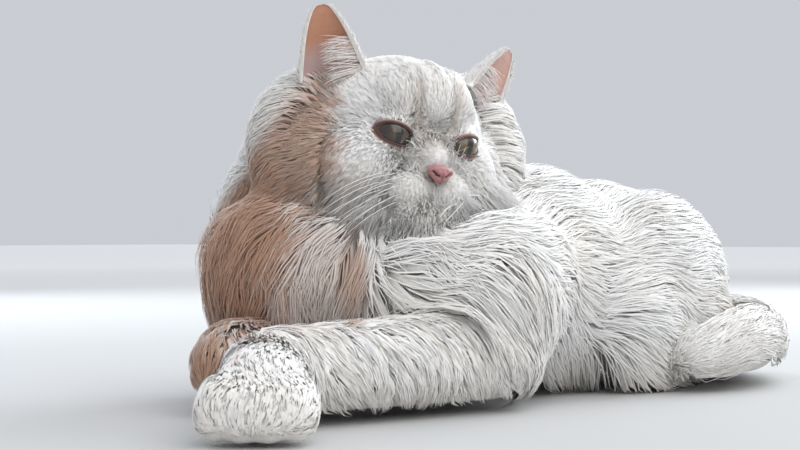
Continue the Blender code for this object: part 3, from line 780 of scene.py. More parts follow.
def markings_and_painted_light(points, jitter=0.0):
    """The coat's colour at each point of the cat, with painted warm light and shade on its right side
    and painted shade low down, in troughs and creases and by the tail.
    """
    local = transformed(TO_HEAD, points)
    turned = ruff_axes(points)
    ragged = 0.14 * waves(points, 0.030, 11) + 0.12 * waves(points, 0.010, 12) + jitter
    # Painted warm light and shade on the cat's right side: cheek, ruff, chest and foreleg.
    warm_light = np.zeros(len(points))
    for middle, size, strength in WARM_LIGHT_PATCHES:
        off = norm((turned - np.array(middle)) / np.array(size))
        warm_light = np.maximum(warm_light, strength * (1 - smoothstep(0.60, 1.25, off + ragged)))
    edge = turned[:, 0] + 0.180 - 0.76 * (points[:, 2] - 0.10)
    warm_light *= np.maximum(smoothstep(-0.006, 0.012, edge), points[:, 2] < 0.09)
    cream_and_shade = np.clip(0.22 + 0.3 * waves(points, 0.06, 13) + jitter, 0, 1)
    # Painted shade: creamier and darker in the lowest 4 cm, near the floor.
    cream_and_shade = np.maximum(cream_and_shade, 0.7 * (1 - smoothstep(0.0, 0.04, points[:, 2])))
    # Painted shade in the troughs of the waves across the left forearm.
    cream_and_shade = np.maximum(cream_and_shade, 0.6 * ribs(points))
    colour = toward(WHITE, CREAM, cream_and_shade[:, None])
    colour = toward(colour, WARM_LIGHT_TINT, warm_light[:, None])
    # Painted shade, with some brown stain, in the recess between the tail and the thigh.
    by_tail = norm((points - np.array((0.100, 0.142, 0.030))) / np.array((0.024, 0.030, 0.034)))
    shaded = 0.55 * (1 - smoothstep(0.4, 1.2, by_tail + ragged))
    colour = toward(colour, TAIL_SHADE, shaded[:, None])
    in_front = local[:, 0] > 20
    # Painted shade along the forehead furrows; real tear stains below the eyes.
    stain_and_shade = 0.35 * np.exp(-((furrows(local) / 3.0) ** 2)) * (local[:, 2] < 34)
    for side in (1, -1):
        tear = near_path(local, np.array([(45, side * 12, -3), (50, side * 10, -14)]))
        stain_and_shade = np.maximum(stain_and_shade, 0.45 * np.exp(-((tear / 3.2) ** 2)))
        # Painted shadow along the line of the mouth.
        line = near_path(local, mouth_path(side))
        stain_and_shade = np.maximum(stain_and_shade, 0.25 * np.exp(-((line / 1.6) ** 2)))
        for z in (-20.5, -24.5, -28.5):
            for k in range(4):
                spot = norm(local[:, 1:] - np.array((side * (10.5 + 3.3 * k), z + 0.5 * k)))
                stain_and_shade = np.maximum(stain_and_shade, 0.45 * np.exp(-((spot / 0.75) ** 2)))
    return toward(colour, BROWN_STAIN_AND_SHADE, (stain_and_shade * in_front)[:, None])


def skin_colour(points):
    """Fur colour, a little darker as painted shade under the coat, where fur hides the skin; bare
    pink and dark rims at the eyes; a painted shadow along the mouth.
    """
    # Painted shade: the skin under the coat is 7% darker than the fur.
    colour = markings_and_painted_light(points) * 0.93
    local = transformed(TO_HEAD, points)
    for side in (1, -1):
        reach = eye_reach(local, side)[0]
        pink = (1 - smoothstep(1.22, 1.45, reach))[:, None]
        colour = toward(colour, (0.42, 0.25, 0.21), pink)
        # Painted shadow: a dark line along the mouth.
        line = np.exp(-((near_path(local, mouth_path(side)) / 1.1) ** 2))[:, None]
        colour = toward(colour, (0.20, 0.10, 0.085), line)
        rim = (1 - smoothstep(1.08, 1.22, reach))[:, None]
        colour = toward(colour, (0.10, 0.05, 0.042), rim)
    return colour


# Materials.
def principled(name, colour=(0.8, 0.8, 0.8), roughness=0.6, **sockets):
    made = bpy.data.materials.new(name)
    made.use_nodes = True
    shader = made.node_tree.nodes["Principled BSDF"]
    shader.inputs["Base Color"].default_value = (*colour, 1)
    shader.inputs["Roughness"].default_value = roughness
    for key, value in sockets.items():
        shader.inputs[key.replace("_", " ")].default_value = value
    return made, made.node_tree.nodes, made.node_tree.links, shader


def noise(nodes, links, scale, detail=3.0):
    place = nodes.new("ShaderNodeTexCoord")
    made = nodes.new("ShaderNodeTexNoise")
    made.inputs["Scale"].default_value = scale
    made.inputs["Detail"].default_value = detail
    links.new(place.outputs["Object"], made.inputs["Vector"])
    return made


def painted(nodes):
    """The colours painted on the mesh."""
    tint = nodes.new("ShaderNodeAttribute")
    tint.attribute_name = "pelt"
    return tint.outputs["Color"]


def bumped(nodes, links, shader, height, strength, distance):
    lift = nodes.new("ShaderNodeBump")
    lift.inputs["Strength"].default_value = strength
    lift.inputs["Distance"].default_value = distance
    links.new(height, lift.inputs["Height"])
    links.new(lift.outputs["Normal"], shader.inputs["Normal"])


def fur_material(name, roughness=0.62, bump=0.0):
    made, nodes, links, shader = principled(name, roughness=roughness, Sheen_Weight=0.25)
    shader.inputs["Sheen Roughness"].default_value = 0.5
    shader.inputs["Specular IOR Level"].default_value = 0.3
    speckle = noise(nodes, links, 420, 4)
    span = nodes.new("ShaderNodeMapRange")
    span.inputs["To Min"].default_value = 0.90
    span.inputs["To Max"].default_value = 1.06
    links.new(speckle.outputs["Fac"], span.inputs["Value"])
    mix = nodes.new("ShaderNodeVectorMath")
    mix.operation = "SCALE"
    links.new(painted(nodes), mix.inputs[0])
    links.new(span.outputs["Result"], mix.inputs["Scale"])
    links.new(mix.outputs["Vector"], shader.inputs["Base Color"])
    if bump:
        grain = noise(nodes, links, 1500, 5)
        bumped(nodes, links, shader, grain.outputs["Fac"], bump, 0.0006)
    return made


def nose_material():
    made, nodes, links, shader = principled("nose_leather", roughness=0.42)
    grain = noise(nodes, links, 900, 4)
    ramp = nodes.new("ShaderNodeValToRGB")
    ramp.color_ramp.elements[0].color = (0.30, 0.11, 0.11, 1)
    ramp.color_ramp.elements[1].color = (0.52, 0.25, 0.25, 1)
    ramp.color_ramp.elements[0].position = 0.3
    ramp.color_ramp.elements[1].position = 0.7
    links.new(grain.outputs["Fac"], ramp.inputs["Fac"])
    mix = nodes.new("ShaderNodeVectorMath")
    mix.operation = "MULTIPLY"
    links.new(ramp.outputs["Color"], mix.inputs[0])
    links.new(painted(nodes), mix.inputs[1])
    links.new(mix.outputs["Vector"], shader.inputs["Base Color"])
    pebbles = nodes.new("ShaderNodeTexVoronoi")
    pebbles.inputs["Scale"].default_value = 1600
    links.new(nodes["Texture Coordinate"].outputs["Object"], pebbles.inputs["Vector"])
    bumped(nodes, links, shader, pebbles.outputs["Distance"], 0.35, 0.0003)
    return made


def eye_material():
    made, nodes, links, shader = principled("eye_gloss", roughness=0.25, Coat_Weight=1.0)
    shader.inputs["Coat Roughness"].default_value = 0.03
    shader.inputs["Coat IOR"].default_value = 1.4
    links.new(painted(nodes), shader.inputs["Base Color"])
    return made


# Pieces.
def put(mesh, name, material, nodes=()):
    """Links a piece made in the cat's own frame, moved to where the solids stand."""
    mesh.transform(Matrix.Translation(SHIFT))
    mesh.materials.clear()
    mesh.materials.append(material)
    obj = bpy.data.objects.new(name, mesh)
    bpy.context.scene.collection.objects.link(obj)
    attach(obj, "root")
    if nodes:
        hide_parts(*nodes)
    return obj


def paint(mesh, colours):
    made = mesh.color_attributes.new("pelt", "FLOAT_COLOR", "POINT")
    full = np.ones((len(mesh.vertices), 4), np.float32)
    full[:, :3] = colours
    made.data.foreach_set("color", full.ravel())


def joined(meshes):
    bm = bmesh.new()
    for mesh in meshes:
        bm.from_mesh(mesh)
    return mesh_of(bm, "joined")


def smooth_shaded(mesh):
    mesh.polygons.foreach_set("use_smooth", np.ones(len(mesh.polygons), bool))
    return mesh


def unwrapped(obj):
    """Lays the skin out flat by its own shape."""
    bpy.context.view_layer.objects.active = obj
    obj.select_set(True)
    bpy.ops.object.mode_set(mode="EDIT")
    bpy.ops.mesh.select_all(action="SELECT")
    bpy.ops.uv.smart_project(angle_limit=math.radians(60), island_margin=0.002)
    bpy.ops.object.mode_set(mode="OBJECT")
    obj.select_set(False)
    obj.data.uv_layers[0].name = "OFBake"


class Unwrap:
    """Reads the skin's own layout at any place on it."""

    def __init__(self, obj):
        mesh = obj.data
        self.tree = tree_of(mesh)
        flat = np.empty(len(mesh.loops) * 2, np.float32)
        mesh.uv_layers["OFBake"].data.foreach_get("uv", flat)
        self.uv = flat.reshape(-1, 2)
        self.start = np.array([face.loop_start for face in mesh.polygons])
        self.size = np.array([face.loop_total for face in mesh.polygons])

    def at(self, roots):
        find = self.tree.find_nearest
        face = np.array([find(root)[2] for root in roots + np.array(SHIFT)])
        start = self.start[face]
        return (self.uv[start] + self.uv[start + self.size[face] // 2]) / 2


def eyeball(side):
    """An eye with a slit pupil in an amber iris, darker at its edge."""
    bm = bmesh.new()
    bmesh.ops.create_uvsphere(bm, u_segments=96, v_segments=64, radius=EYE_RADIUS)
    mesh = mesh_of(bm, "eye")
    points = places_of(mesh)
    gaze = Euler((math.radians(4 * side), math.radians(-2), math.radians(7 * side))).to_matrix()
    axes = np.array(gaze)
    away = points @ axes
    off, up, out = away[:, 1], away[:, 2], away[:, 0]
    radius = np.hypot(off, up)
    spokes = 0.5 + 0.5 * np.sin(np.arctan2(up, off) * 46 + 3 * np.sin(np.arctan2(up, off) * 7))
    # Painted shade: the right eye's iris is painted darker than the left's.
    shade = 1.0 if side > 0 else 0.45
    inner = np.array((0.150, 0.092, 0.038)) * shade
    outer = np.array((0.060, 0.034, 0.017)) * shade
    t = smoothstep(2.0, 8.2, radius)[:, None]
    colour = toward(inner, outer, t)
    colour = colour * (0.82 + 0.36 * spokes * (1 - t[:, 0]))[:, None]
    slit = np.hypot(off / 2.1, up / 6.6)
    pupil = (1 - smoothstep(0.82, 1.1, slit))[:, None]
    colour = toward(colour, (0.004, 0.0035, 0.003), pupil)
    rim = smoothstep(8.3, 9.3, radius)[:, None]
    colour = toward(colour, (0.02, 0.012, 0.010), rim)
    colour[out < 0] = (0.02, 0.012, 0.010)
    bulge = np.where(out > 0, 0.55 * np.exp(-((radius / 6.5) ** 2)), 0)
    points = points + unit(points) * bulge[:, None]
    place = Matrix.Translation(Vector((EYE_PLACE.x, side * EYE_PLACE.y, EYE_PLACE.z)))
    placed(mesh, points)
    mesh.transform(HEAD @ place)
    paint(mesh, colour)
    return smooth_shaded(mesh)


def swept(paths, radii, sides=8, closed=False):
    """Round tubes along paths, each with its own radius at every point."""
    bm = bmesh.new()
    for path, widths in zip(paths, radii):
        count = len(path)
        rings = []
        for k in range(count):
            after = path[(k + 1) % count] if closed else path[min(k + 1, count - 1)]
            before = path[k - 1] if closed else path[max(k - 1, 0)]
            ahead = Vector(after - before).normalized()
            turn = ahead.to_track_quat("Z", "Y")
            angles = [2 * math.pi * step / sides for step in range(sides)]
            spokes = [turn @ Vector((math.cos(a), math.sin(a), 0)) * widths[k] for a in angles]
            rings.append([bm.verts.new(Vector(path[k]) + spoke) for spoke in spokes])
        pairs = zip(rings, rings[1:] + rings[:1]) if closed else zip(rings, rings[1:])
        for low, high in pairs:
            for j in range(sides):
                n = (j + 1) % sides
                bm.faces.new((low[j], low[n], high[n], high[j]))
        if not closed:
            bm.faces.new(rings[0][::-1])
            bm.faces.new(rings[-1])
    bmesh.ops.recalc_face_normals(bm, faces=bm.faces)
    return smooth_shaded(mesh_of(bm, "swept"))


def lid_rim(side):
    """The dark, wet edge of both lids, lying on the eye."""
    centre, out, along, up = eye_axes(side)
    path, widths = [], []
    for k in range(72):
        angle = 2 * math.pi * k / 72
        across = math.cos(angle)
        high = lid_height(np.array(across)) * (1 if math.sin(angle) >= 0 else -1)
        u, v = across * LID_WIDTH, float(high)
        level = math.sqrt(max((EYE_RADIUS + 0.75) ** 2 - min(u * u + v * v, 118.0), 1.0))
        path.append(centre + out * level + along * u + up * v)
        widths.append((0.80 if v > 0 else 0.60) * MM)
    world = [np.array(HEAD @ Vector(p)) for p in path]
    return swept([world], [widths], 8, closed=True)


def nose_piece():
    """The pink nose leather with its nostrils and the groove that parts it."""
    pieces = [
        head_ball((51.3, 0, -17.8), (4.6, 8.2, 3.6)),
        head_ball((51.8, 0, -19.8), (4.6, 5.8, 3.6)),
        head_ball((51.2, 0, -22.4), (4.0, 2.3, 2.7)),
    ]
    mesh = fused(pieces, False, 0.45 * MM, 3)
    points, normals = in_head(mesh)
    hollow = np.zeros(len(points))
    for side in (1, -1):
        slot = np.array([(56, side * 2.6, -21.4), (54.5, side * 6.0, -19.2)])
        hollow = np.maximum(hollow, np.exp(-((near_path(points, slot) / 1.15) ** 2)))
    groove = np.exp(-((points[:, 1] / 0.7) ** 2)) * (points[:, 2] < -19)
    points = points - normals * (2.4 * hollow + 0.7 * groove)[:, None]
    placed(mesh, transformed(HEAD, points))
    # Painted shade: the nostrils near black and the groove darker.
    colour = np.ones((len(points), 3)) * (1 - 0.93 * smoothstep(0.25, 0.75, hollow))[:, None]
    colour *= (1 - 0.45 * groove)[:, None]
    paint(mesh, colour)
    return mesh


EAR_RINGS, EAR_ARC = 34, 30
EAR_OPENING = math.radians(105)


def ear_matrix(side):
    lean = Matrix.Rotation(math.radians(-EAR_LEAN[side] * side), 4, "X")
    swing = Matrix.Rotation(math.radians(EAR_SWING * side), 4, "Z")
    return HEAD @ Matrix.Translation(EAR_FOOT[side]) @ lean @ swing


def ear_point(rise, turn, inward):
    """A place on the ear's cup: height 0 to 1, turn -1 to 1 round the cup, wall 0 out to 1 in."""
    width = EAR_WIDTH / 2 * (1 - rise) ** 0.5 + 1.6
    depth = EAR_DEPTH * (1 - rise) ** 0.8 + 1.2
    wall = min(EAR_WALL, 0.6 * depth) * inward
    angle = EAR_OPENING * turn
    x = -math.cos(angle) * (depth - wall)
    y = math.sin(angle) * (width - wall * 0.7)
    return Vector((x - 5 * rise, y, rise * EAR_HEIGHT))


def ear_shape(side):
    bm = bmesh.new()
    loops = []
    inside = []
    for k in range(EAR_RINGS):
        rise = 1 - (1 - k / (EAR_RINGS - 1)) ** 1.4
        row = []
        for inward in (0, 1):
            turns = [2 * step / EAR_ARC - 1 for step in range(EAR_ARC + 1)]
            for turn in turns if inward == 0 else turns[::-1]:
                row.append(bm.verts.new(ear_point(rise, turn, inward)))
                inside.append((inward, rise, abs(turn)))
        loops.append(row)
    for low, high in zip(loops, loops[1:]):
        for k in range(len(low)):
            turn = (k + 1) % len(low)
            bm.faces.new((low[k], low[turn], high[turn], high[k]))
    for ring in (loops[0][::-1], loops[-1]):
        for step in range(EAR_ARC):
            bm.faces.new((ring[step], ring[step + 1], ring[-2 - step], ring[-1 - step]))
    bmesh.ops.recalc_face_normals(bm, faces=bm.faces)
    bm.transform(ear_matrix(side))
    mesh = mesh_of(bm, "ear")
    inside = np.array(inside)
    fur = markings_and_painted_light(places_of(mesh))
    # Painted warm light: the right ear's inside turns orange-brown higher up, where warm light shines
    # through it.
    warm = np.array((0.55, 0.27, 0.17)) if side < 0 else np.array((0.66, 0.42, 0.36))
    low = np.array((0.58, 0.40, 0.38))
    skin = toward(low, warm, smoothstep(0.25, 0.6, inside[:, 1])[:, None])
    skin = toward(skin, fur, smoothstep(0.82, 0.98, inside[:, 2])[:, None])
    paint(mesh, np.where(inside[:, :1] > 0.5, skin, fur))
    return smooth_shaded(mesh)


def ear_fur(side, word, draw, layout, material):
    """Short fur on the back of the ear, a fringe at its edge and strands across its mouth."""
    matrix = ear_matrix(side)
    paths, ups, widths, shades = [], [], [], []

    def strand(root, ahead, up, length, width, droop, shade):
        line, over = [], []
        for k in range(4):
            t = k / 3
            line.append(matrix @ (root + ahead * length * t - up * 0.4 * (k == 0)
                                  + Vector((0, 0, -droop)) * t * t))
            over.append((matrix.to_3x3() @ up).normalized())
        paths.append(line)
        ups.append(over)
        widths.append(width * MM)
        shades.append(shade)

    pale = np.array((0.90, 0.86, 0.82))
    rosy = np.array((0.78, 0.60, 0.55))
    for _ in range(1500):
        rise, turn = draw.uniform(0, 0.93) ** 1.2, draw.uniform(-0.98, 0.98)
        here = ear_point(rise, turn, 0)
        out = (here - Vector((-5 * rise, 0, here.z))).normalized()
        back = (ear_point(min(rise + 0.02, 1), turn, 0) - here).normalized()
        sway = Vector(draw.normal(0, 0.12, 3))
        ahead = (back + out * 0.18 + sway).normalized()
        length = draw.uniform(4.5, 8) * (1.25 - 0.7 * rise)
        strand(here, ahead, out, length, 0.6, 0, pale)
    for _ in range(420):
        rise, edge = draw.uniform(0.02, 0.92), draw.choice((-1, 1))
        here = ear_point(rise, edge, draw.random())
        along = (ear_point(min(rise + 0.02, 1), edge, 0.5) - ear_point(rise, edge, 0.5)).normalized()
        ahead = (along + Vector((0.35, 0.45 * edge, 0)) + Vector(draw.normal(0, 0.2, 3))).normalized()
        strand(here, ahead, Vector((1, 0, 0)), draw.uniform(2.5, 5), 0.42, 0, pale)
    for _ in range(230):
        rise = draw.uniform(0.0, 0.52)
        here = ear_point(rise, -side * draw.uniform(0.70, 0.99), 0.9)
        ahead = Vector((0.25, side, draw.uniform(-0.1, 0.35))).normalized()
        length = draw.uniform(13, 27) * (1 - 0.5 * rise)
        shade = pale if draw.random() < 0.55 else rosy
        strand(here, ahead, Vector((1, 0, 0.2)).normalized(), length, 0.42, draw.uniform(1, 5), shade)
    path, over = np.array(paths), np.array(ups)
    roots = path[:, 0]
    tint = np.array(shades)
    fur = markings_and_painted_light(roots, draw.normal(0, 0.1, len(roots)))
    tint[:1500] = fur[:1500]
    tint = np.repeat(tint[:, None], 4, axis=1)
    mesh = tuft_mesh("ear_fur", path, over, np.array(widths), layout.at(roots), tint)
    put(mesh, f"ear_fur_{word}", material)


def whiskers(draw):
    """Long stiff hairs from the pads and a few over the eyes."""
    paths, radii = [], []
    for side in (1, -1):
        for row, (x, z) in enumerate(((45, -22), (44, -26.5), (43, -31), (41, -35))):
            for k in range(3):
                root = Vector((x - 3.2 * k, side * (14 + 3.4 * k), z + 0.8 * k))
                out = Vector((0.25 - 0.12 * k, side * (0.95 + 0.02 * k), -0.12 - 0.10 * row))
                out = (out + Vector(draw.normal(0, 0.06, 3))).normalized()
                length = draw.uniform(46, 66) * (1 - 0.10 * abs(row - 1.5))
                paths.append((root, out, length, 0.24))
        for k in range(3):
            root = Vector((33 - 2 * k, side * (20 + 4 * k), 15 + 0.5 * k))
            out = Vector((0.5, side * (0.45 + 0.2 * k), 0.8)).normalized()
            paths.append((root, out, draw.uniform(24, 34), 0.15))
    lines = []
    for root, out, length, thick in paths:
        droop = Vector((-0.1, 0, -1)) if thick > 0.2 else Vector((-0.5, 0, -0.35))
        line, widths = [], []
        for k in range(13):
            t = k / 12
            point = root - out * 2 + out * length * t + droop * length * 0.34 * t**2.2
            line.append(np.array(HEAD @ point))
            widths.append(thick * MM * (1 - t) ** 0.7 + 0.02 * MM)
        lines.append(line)
        radii.append(widths)
    return swept(lines, radii, 5)


def face_allowed(points):
    """Whether a tuft may root there: clear of eyes, nose and the line of the mouth."""
    local = transformed(TO_HEAD, points)
    clear = np.ones(len(points), bool)
    for side in (1, -1):
        reach, away_from_eye = eye_reach(local, side)
        clear &= (reach > 1.26) | (away_from_eye > 24)
        gap = np.where(np.abs(local[:, 1]) < 9, 2.0, 1.2)
        clear &= near_path(local, mouth_path(side)) > gap
    nose = np.array([(53, -5, -18), (53, 5, -18)])
    clear &= near_path(local, nose) > 4.4
    clear &= near_path(local, np.array([(53, 0, -20), (54, 0, -30)])) > 2.2
    return clear


NOSE_TIP = np.array((54, 0, -14))
MOST_TRIANGLES = 190000
LONG_DENSITY = 0.84e6
SHORT_DENSITY = 1e6

# The columns of a pelt's fields, after the three of the lie.
LENGTH, WIDTH, DENSITY, GATHER, WAVE, DEPTH = range(3, 9)


def face_length(local):
    """The length in mm of the fur by its distance from the nose."""
    away_from_nose = norm(local - NOSE_TIP)
    far = np.maximum(away_from_nose - 40, 0)
    jaw = smoothstep(-24, -50, local[:, 2]) * smoothstep(40, 22, local[:, 0])
    jaw *= smoothstep(54, 40, np.abs(local[:, 1]))
    return 2.2 + 0.14 * np.maximum(away_from_nose - 18, 0) + 0.0032 * far**2 + 14 * jaw


def on_face(points):
    """How far a point belongs to the short coat of the face: 1 in front, 0 behind the cheeks."""
    local = transformed(TO_HEAD, points)
    near = 1 - smoothstep(60, 68, norm(local - np.array((0, 0, -4))))
    near *= smoothstep(-60, -52, local[:, 2])
    return smoothstep(-24, 2, local[:, 0]) * near


def hung(path, ups, hang):
    """Lets the tufts hang down where the skin turns under."""
    steps = np.diff(path, axis=1)
    under = np.clip(-1.6 * ups[:, 1:, 2] - 0.1, 0, 0.9)[:, :, None] * hang[:, None, None]
    size = np.linalg.norm(steps, axis=2, keepdims=True)
    steps = steps * (1 - under) + np.array((0, 0, -1.0)) * size * under
    first = path[:, :1]
    return np.concatenate((first, first + np.cumsum(steps, axis=1)), axis=1)


def make_coat(pelt, roots, fields, parts, stations, draw, layout, material, label, roundness):
    """Tufts from the roots, in joined meshes below the limit of triangles for one piece."""
    count = len(roots)
    length, width, _, gather, wave, depth = fields[:, LENGTH:].T
    reach = length * MM * draw.uniform(0.72, 1.18, count) / (stations - 1)
    veer = draw.normal(0, 0.09, count)
    path, ups = pelt.walk([Vector(root) for root in roots], reach, veer, stations)
    hang = np.select([np.isin(parts, ("ruff", "mane", "chest")), parts == "torso",
                      parts == "thigh"], [1.0, 0.35, 0.35], 0.0)
    path = hung(path, ups, hang)
    broad = draw.random(count) < 0.20
    width = width * np.where(broad, 3.4, 0.76)
    layer = np.where(broad, 0.60 + 0.18 * draw.random(count), 0.78 + 0.26 * draw.random(count))
    sink = 1.0 * MM
    height = np.maximum(depth, 0.7 * MM) * layer
    rise = height[:, None] * RISE[stations] - sink * (RISE[stations] == 0)
    path = path + ups * rise[:, :, None]
    strength = np.clip(gather * draw.uniform(0.75, 1.2, count), 0, 0.9)
    path, clump = gathered(path, roots, strength, 26.0 if stations > 4 else 9.0, draw)
    path = wavy(path, ups, clump, wave * MM * draw.uniform(0.6, 1.2, count), draw)
    uv = layout.at(roots)
    jitter = np.repeat(draw.normal(0, 0.10, count), stations)
    colour = markings_and_painted_light(path.reshape(-1, 3), jitter).reshape(count, stations, 3)
    colour = np.clip(colour * draw.uniform(0.95, 1.05, count)[:, None, None], 0, 0.97)
    each = 6 * (stations - 2) + 4
    most = MOST_TRIANGLES // each
    order = np.argsort(roots[:, 1], kind="stable")
    for k, start in enumerate(range(0, count, most)):
        mine = order[start:start + most]
        mesh = tuft_mesh(label, path[mine], ups[mine], width[mine] * MM, uv[mine], colour[mine],
                         roundness[mine])
        put(mesh, f"{label}_{k + 1}", material)


SIDES = {"left": 1, "right": -1}
LIMBS = ("upperarm", "forearm", "forepaw", "hindleg", "hindfoot")
FLESH = ["head", "neck", "chest", "torso", "tail_root", "tail_middle", "tail_tip"]
FLESH += [f"{part}_{word}" for word in SIDES for part in LIMBS]


def flesh_meshes():
    """The skin of the head and that of the whole cat, clear of the floor, and the coat's outside."""
    head_mesh = fused(head(), True, 1.2 * MM, 5)
    carve_face(head_mesh)
    whole = whole_body(True, 2.7 * MM)
    outside = tree_of(whole_body(False, 3 * MM))
    for mesh in (head_mesh, whole):
        lift = np.maximum(0.3 * MM - places_of(mesh)[:, 2:], 0)
        moved(mesh, np.array((0, 0, 1)) * lift)
    return head_mesh, whole, outside


def make_skin(head_mesh, whole, look):
    """One skin: the carved face, and the rest of the cat sunk in behind it."""
    behind_face = whole.copy()
    sunk = on_face(places_of(whole))[:, None] * 8 * MM
    moved(behind_face, -normals_of(whole) * sunk)
    mesh = smooth_shaded(joined([head_mesh, behind_face]))
    paint(mesh, skin_colour(places_of(mesh)))
    skin = put(mesh, "skin", look, FLESH)
    unwrapped(skin)
    return Unwrap(skin)


def lay_long_coat(body):
    """Shortens the long coat towards the face, thins it at the ribs, and gives its density."""
    by_face = transformed(TO_HEAD, body.points)
    free = 1 - smoothstep(-55, -38, by_face[:, 2]) + smoothstep(85, 120, norm(by_face))
    most = face_length(by_face) + free * 60 + 4
    share = np.clip(most / body.fields[:, LENGTH], 0, 1)
    body.fields[:, LENGTH] *= share
    body.fields[:, WIDTH] *= 0.6 + 0.4 * share
    body.fields[:, DENSITY] *= 1.8 - 0.8 * share
    body.fields[:, GATHER] *= share
    body.fields[:, WAVE] *= share**1.5
    body.fields[:, DEPTH] *= 1 - 0.45 * ribs(body.points)
    tallest = 0.42 * MM * body.fields[:, LENGTH]
    body.fields[:, DEPTH] = np.minimum(body.fields[:, DEPTH], tallest)
    density = body.fields[:, DENSITY] * LONG_DENSITY * (1 - on_face(body.points) * 0.999)
    under = (body.normals[:, 2] < -0.45) & (body.points[:, 2] < 0.03)
    return density * np.where(under, 0.0, 1.0)


def lay_short_coat(face):
    """Sets the face's coat by the distance from nose, eyes and mouth, and gives its density."""
    local = transformed(TO_HEAD, face.points)
    from_nose = norm(local - NOSE_TIP)
    near_eye = np.minimum(*[eye_reach(local, side)[0] for side in (1, -1)])
    near_mouth = np.minimum(*[near_path(local, mouth_path(side)) for side in (1, -1)])
    face.fields[:, LENGTH] = face_length(local) * (smoothstep(0.9, 2.4, near_eye) * 0.65 + 0.35)
    face.fields[:, LENGTH] *= smoothstep(1, 7, near_mouth) * 0.6 + 0.4
    face.fields[:, WIDTH] = np.interp(from_nose, (15, 45, 90), (0.36, 0.52, 0.75))
    face.fields[:, GATHER] = np.interp(from_nose, (30, 90), (0.12, 0.35))
    face.fields[:, WAVE] = np.interp(from_nose, (30, 90), (0.10, 0.60))
    face.fields[:, DEPTH] *= np.interp(from_nose, (15, 45), (0.55, 1.0))
    near = np.interp(from_nose, (15, 35, 90), (3.6, 1.5, 0.9))
    return near * SHORT_DENSITY * on_face(face.points)


def plain_paint(mesh, colour):
    paint(mesh, np.full((len(mesh.vertices), 3), colour))
    return mesh


def fittings(draw):
    """Eyes, lids, ears, nose and whiskers."""
    for word, side in SIDES.items():
        put(eyeball(side), f"eyeball_{word}", eye_material(), [f"eye_{word}"])
        rim = plain_paint(lid_rim(side), (0.085, 0.042, 0.036))
        put(rim, f"lid_{word}", fur_material(f"lid_{word}", roughness=0.35))
        ear_look = fur_material(f"ear_{word}", roughness=0.7, bump=0.4)
        put(ear_shape(side), f"ear_cup_{word}", ear_look, [f"ear_{word}"])
    put(nose_piece(), "nose_leather", nose_material(), ["nose"])
    hairs = plain_paint(whiskers(draw), (0.85, 0.80, 0.78))
    put(hairs, "whiskers", fur_material("whisker", roughness=0.4))


def build():
    draw = np.random.default_rng(5)
    thin = 1.0
    fur = fur_material("long_fur")
    skin_look = fur_material("skin_fur", roughness=0.8, bump=0.5)
    head_mesh, whole, outside = flesh_meshes()
    layout = make_skin(head_mesh, whole, skin_look)
    body = Pelt(whole, head() + body_pieces(), outside, 14)
    face = Pelt(head_mesh, head(), outside, 6)

    density = lay_long_coat(body)
    waving = np.isin(body.parts, ("ruff", "mane", "chest", "jowl"))
    for label, mask, stations in (("coat_ruff", waving, 5), ("coat_body", ~waving, 4)):
        roots, fields, parts = body.spread(density * mask * thin, draw)
        on_paw = np.isin(parts, ("paw_left", "paw_right"))
        roundness = np.where(on_paw, 0.22, 0.45)[:, None, None]
        make_coat(body, roots, fields, parts, stations, draw, layout, fur, label, roundness)

    roots, fields, parts = face.spread(lay_short_coat(face) * thin, draw)
    keep = face_allowed(roots)
    roots, fields, parts = roots[keep], fields[keep], parts[keep]
    roundness = np.full((len(roots), 1, 1), 0.22)
    make_coat(face, roots, fields, parts, 3, draw, layout, fur, "coat_face", roundness)
    for word, side in SIDES.items():
        ear_fur(side, word, draw, layout, fur)
    fittings(draw)


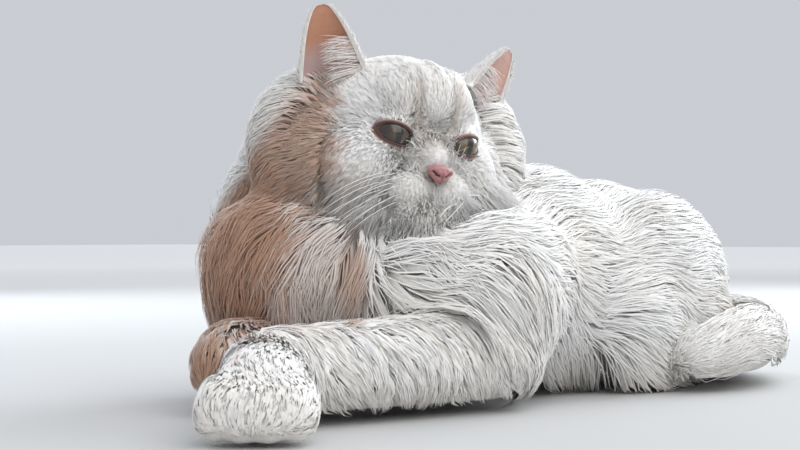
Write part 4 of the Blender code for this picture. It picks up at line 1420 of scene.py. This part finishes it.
def set_stage():
    bpy.ops.mesh.primitive_plane_add(size=24)
    floor = bpy.context.object
    floor.name = "floor"
    made, nodes, links, shader = principled("pale_floor", (0.60, 0.60, 0.61), 0.85)
    # Painted light: the floor is painted paler further from its middle, where the lamps' light falls
    # off.
    place = nodes.new("ShaderNodeTexCoord")
    far = nodes.new("ShaderNodeVectorMath")
    far.operation = "LENGTH"
    paler = nodes.new("ShaderNodeMapRange")
    paler.inputs["From Min"].default_value = 0.5
    paler.inputs["From Max"].default_value = 4.0
    paler.inputs["To Min"].default_value = 0.52
    paler.inputs["To Max"].default_value = 0.95
    links.new(place.outputs["Object"], far.inputs[0])
    links.new(far.outputs["Value"], paler.inputs["Value"])
    links.new(paler.outputs["Result"], shader.inputs["Base Color"])
    floor.data.materials.append(made)
    world = bpy.data.worlds.new("studio")
    bpy.context.scene.world = world
    world.use_nodes = True
    world.node_tree.nodes["Background"].inputs["Color"].default_value = (0.69, 0.715, 0.76, 1)
    world.node_tree.nodes["Background"].inputs["Strength"].default_value = 0.85

    def area(name, place, size, power, colour):
        light = bpy.data.lights.new(name, "AREA")
        light.shape = "SQUARE"
        light.size = size
        light.energy = power
        light.color = colour
        obj = bpy.data.objects.new(name, light)
        obj.location = place
        aim = Vector((0, -0.02, 0.09)) - Vector(place)
        obj.rotation_mode = "QUATERNION"
        obj.rotation_quaternion = aim.to_track_quat("-Z", "Y")
        bpy.context.scene.collection.objects.link(obj)

    sun = bpy.data.lights.new("sky", "SUN")
    sun.energy = 0.7
    sun.angle = 1.2
    above = bpy.data.objects.new("sky", sun)
    above.rotation_euler = (math.radians(-20), math.radians(30), 0)
    bpy.context.scene.collection.objects.link(above)
    area("key", (1.3, -0.75, 1.35), 2.0, 18, (1.0, 0.985, 0.96))
    area("window", (0.3, 1.6, 1.1), 1.3, 26, (0.90, 0.96, 1.0))
    area("rim", (-1.5, 0.35, 0.8), 0.8, 10, (0.86, 0.94, 1.0))
    bpy.context.scene.view_settings.view_transform = "Standard"


def set_camera():
    """At the photo's place, low in front of the cat and a little to its left."""
    lens = bpy.data.cameras.new("camera")
    lens.lens = 68.0
    lens.sensor_width = 36
    obj = bpy.data.objects.new("camera", lens)
    obj.location = Vector((0.51, -0.80, 0.097)) + SHIFT
    ahead = Vector((-0.588, 0.809, math.tan(math.radians(0.42))))
    obj.rotation_mode = "QUATERNION"
    obj.rotation_quaternion = ahead.to_track_quat("-Z", "Y")
    bpy.context.scene.collection.objects.link(obj)
    bpy.context.scene.camera = obj


build()
set_stage()
set_camera()
